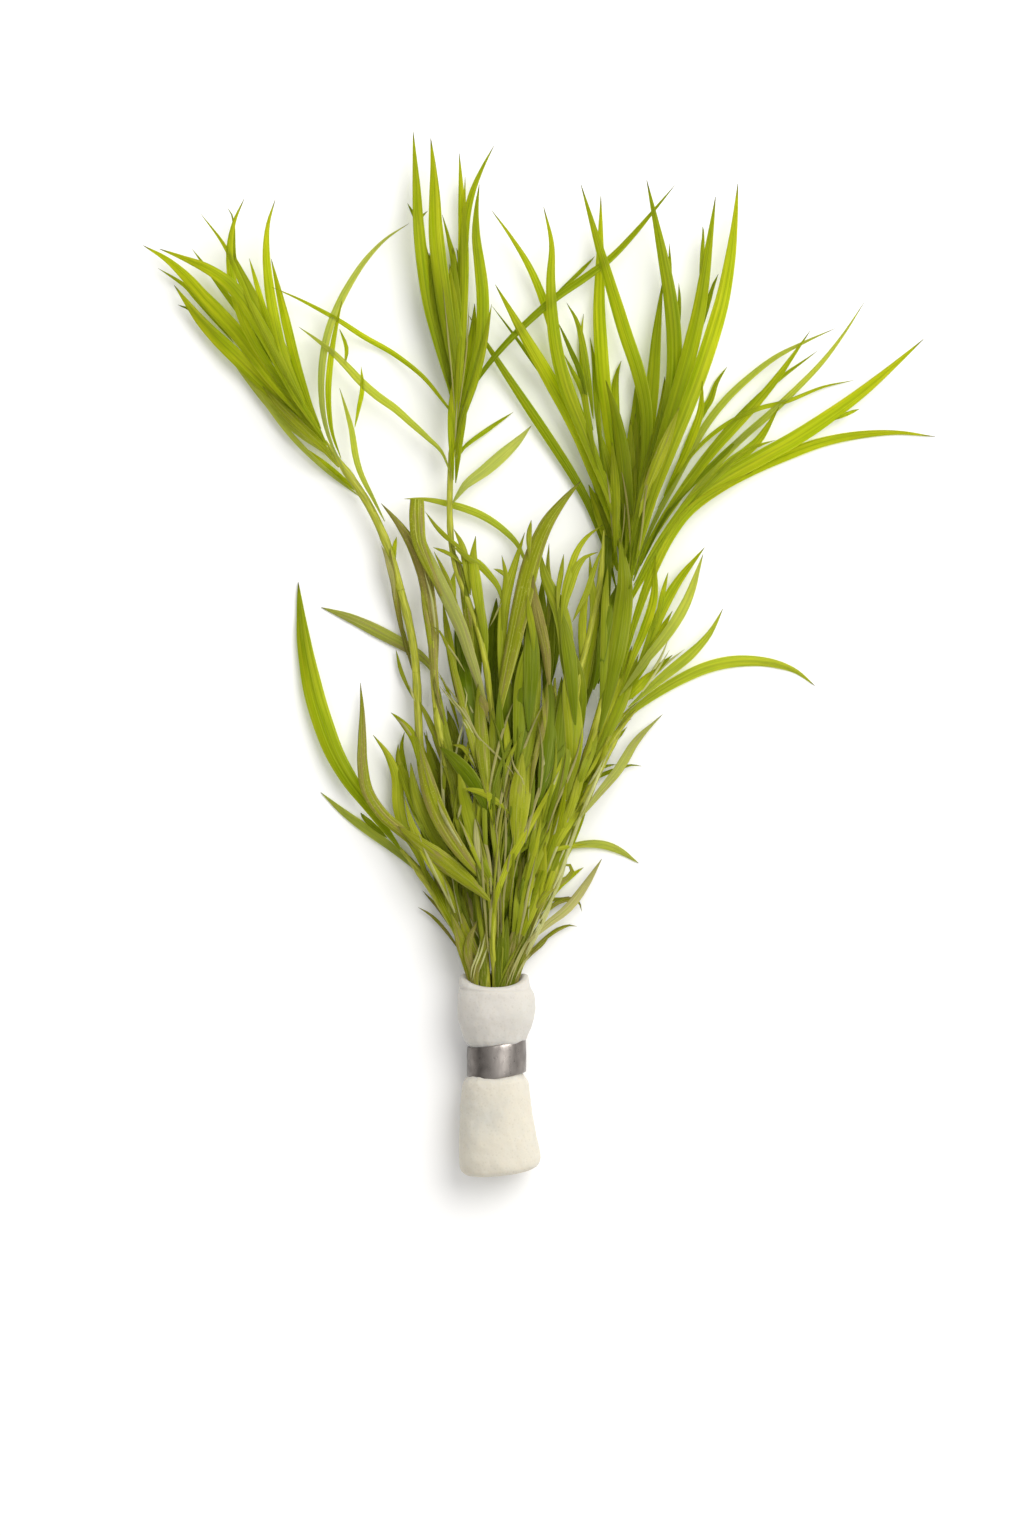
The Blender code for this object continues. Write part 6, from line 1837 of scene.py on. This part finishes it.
def foam_finish():
    material, tree = new_material("soft_foam")
    place = node(tree, "ShaderNodeTexCoord", pick="Object")
    patches = node(tree, "ShaderNodeTexNoise", {"Vector": place, "Scale": 110.0, "Detail": 3.0})
    grain = node(tree, "ShaderNodeTexNoise", {"Vector": place, "Scale": 2600.0, "Detail": 2.0})
    cells = node(tree, "ShaderNodeTexVoronoi", {"Vector": place, "Scale": 1700.0})
    along = node(tree, "ShaderNodeSeparateXYZ", {0: place}).node.outputs["Y"]
    lower = calculate(tree, "MULTIPLY", ramp(tree, along, CREAM_FROM, CREAM_TO), CREAM_SHARE)
    base = blend_colours(tree, lower, FOAM_LIGHT, FOAM_CREAM)
    stained = ramp(tree, patches, 0.5, 0.72, 0.0, 0.5)
    colour = blend_colours(tree, stained, base, FOAM_GREY)
    pits = ramp(tree, cells, 0.0, 0.35, 0.35, 0.0)
    colour = blend_colours(tree, pits, colour, DARK_PIT, "MULTIPLY")
    relief = bump(tree, 0.7, FOAM_GRAIN, calculate(tree, "ADD", grain, cells))
    fill_inputs(tree, tree.nodes["Principled BSDF"], {
        "Base Color": colour, "Normal": relief, **FOAM_SURFACE,
    })
    return material


foam = add_object("foam_wrap", mesh_from_rows("foam_wrap", foam_rings, closed=True))
foam.data.materials.append(foam_finish())
hand_over(foam, "foam", "foam_sleeve")
print("foam:", len(foam.data.polygons), "faces")

# %% [markdown]
# ## The lead strip
#
# Plant weights are cut from thin soft lead and bent round by hand. The metal isn't springy, so it
# keeps every dent of the fingers, and its cut edges are slightly rolled. The band is a grid that is
# curved round the foam, dented by noise, given its thickness and then rounded at the edges.

# %% The lead band
STRIP_PLACE = Vector((-7.31, -65.75, 5.7))
STRIP_RADIUS = 4.33
STRIP_WIDENING = 1.08
STRIP_WIDTH = 5.6
STRIP_TILT = math.tan(math.radians(9))
STRIP_THICKNESS = 0.55
LAP_START = math.radians(222)
LAP = math.radians(34)
LAP_RAMP = math.radians(40)
LAP_LIFT = 0.95
STRIP_AROUND = 150
STRIP_ACROSS = 14
DENT_DEPTH = 0.06
# How closely small dents and wide facets follow each other, round the band and across it
DENTS = (3.1, 2.4)
FACETS = (1.3, 0.6)
EDGE_ROLL = 0.1
BOW = 0.21
BAND_SHIFT = 0.15
EDGE_ROUNDING = 0.12


def strip_radius(turned):
    """The radius goes out once, near the end, so that the strip laps over its own start."""
    share = min(1.0, max(0.0, (turned - (math.tau - LAP_RAMP)) / LAP_RAMP))
    return STRIP_RADIUS + LAP_LIFT * share ** 2 * (3 - 2 * share)


def strip_point(turned, share):
    """A point of the band: how far round it is, and where between its two edges, 0 to 1."""
    angle = LAP_START + turned
    outward = Vector((math.cos(angle), 0, math.sin(angle)))
    edge = abs(2 * share - 1)
    # The shifts of 7 and 5 take the two from different places in the noise
    dents = noise.noise(Vector((outward.x * DENTS[0], share * DENTS[1], outward.z * DENTS[0] + 7)))
    facets = noise.noise(
        Vector((outward.x * FACETS[0] + 5, share * FACETS[1], outward.z * FACETS[0]))
    )
    radius = strip_radius(turned) + DENT_DEPTH * (dents + facets) - EDGE_ROLL * edge ** 6
    across = radius * STRIP_WIDENING * outward.x
    bow = BOW * (across / STRIP_RADIUS) ** 2
    y = STRIP_PLACE.y - STRIP_WIDTH * share + across * STRIP_TILT + bow - BAND_SHIFT
    return Vector((STRIP_PLACE.x + across, y, STRIP_PLACE.z + radius * outward.z)) * MM


band_rows = [
    [strip_point((math.tau + LAP) * turn / STRIP_AROUND, share / STRIP_ACROSS)
     for share in range(STRIP_ACROSS + 1)]
    for turn in range(STRIP_AROUND + 1)
]
print("lead band:", len(band_rows), "rows round the foam")

# %% [markdown]
# Lead goes dull and dark in air. The finish is cloudy and scratched, with small pits, and a painted
# highlight, a brighter streak where the lamp's reflection falls, runs across the middle of its top.

# %% The lead finish
LEAD_DARK = (0.10, 0.088, 0.08, 1)
LEAD_LIGHT = (0.21, 0.19, 0.175, 1)
LEAD_PAINTED_HIGHLIGHT = (0.42, 0.385, 0.36, 1)
LEAD_PIT = (0.07, 0.06, 0.055, 1)
LEAD_GRAIN = 0.04 * MM
LEAD_METALLIC = 0.92
# Across the strip, where the painted highlight rises and where it fades
HIGHLIGHT_RISES = (-10 * MM, -6.8 * MM)
HIGHLIGHT_FADES = (-6.3 * MM, -4 * MM)


def lead_finish():
    material, tree = new_material("dull_lead")
    place = node(tree, "ShaderNodeTexCoord", pick="Object")
    drawn_out = node(tree, "ShaderNodeMapping", {"Vector": place, "Scale": (1, 0.22, 1)})
    clouds = node(tree, "ShaderNodeTexNoise", {"Vector": place, "Scale": 420.0, "Detail": 5.0})
    scratches = node(
        tree, "ShaderNodeTexNoise", {"Vector": drawn_out, "Scale": 2200.0, "Detail": 4.0}
    )
    pits = node(tree, "ShaderNodeTexVoronoi", {"Vector": place, "Scale": 900.0})
    colour = blend_colours(tree, ramp(tree, clouds, 0.32, 0.7), LEAD_DARK, LEAD_LIGHT)
    x = node(tree, "ShaderNodeSeparateXYZ", {"Vector": place})
    # Painted highlight: a brighter streak that stands in for the lamp's reflection on the band
    fading = ramp(tree, x, *HIGHLIGHT_FADES, 0.8, 0.25)
    painted_highlight = calculate(tree, "MULTIPLY", ramp(tree, x, *HIGHLIGHT_RISES), fading)
    colour = blend_colours(tree, painted_highlight, colour, LEAD_PAINTED_HIGHLIGHT)
    colour = blend_colours(tree, ramp(tree, pits, 0.0, 0.16, 0.6, 0.0), colour, LEAD_PIT)
    height = calculate(tree, "ADD", scratches, ramp(tree, pits, 0.0, 0.2, 0.0, 1.0))
    fill_inputs(tree, tree.nodes["Principled BSDF"], {
        "Base Color": colour, "Normal": bump(tree, 0.5, LEAD_GRAIN, height),
        "Roughness": ramp(tree, scratches, 0.3, 0.7, 0.24, 0.42), "Metallic": LEAD_METALLIC,
    })
    return material


band = add_object("lead_band", mesh_from_rows("lead_band", band_rows, closed=False))
band.data.materials.append(lead_finish())
wall = band.modifiers.new("thickness", "SOLIDIFY")
wall.thickness = STRIP_THICKNESS * MM
wall.offset = 0
soft_edge = band.modifiers.new("soft edges", "BEVEL")
soft_edge.width = EDGE_ROUNDING * MM
soft_edge.segments = 2
soft_edge.limit_method = "ANGLE"
hand_over(band, "lead", "lead_strip")
print("lead band:", len(band.data.polygons), "faces before its thickness")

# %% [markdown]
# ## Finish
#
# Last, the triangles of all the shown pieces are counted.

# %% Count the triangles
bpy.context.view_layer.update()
triangles = sum(len(piece.data.polygons) * 2 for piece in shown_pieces() if piece.type == "MESH")
print("about", triangles, "triangles")
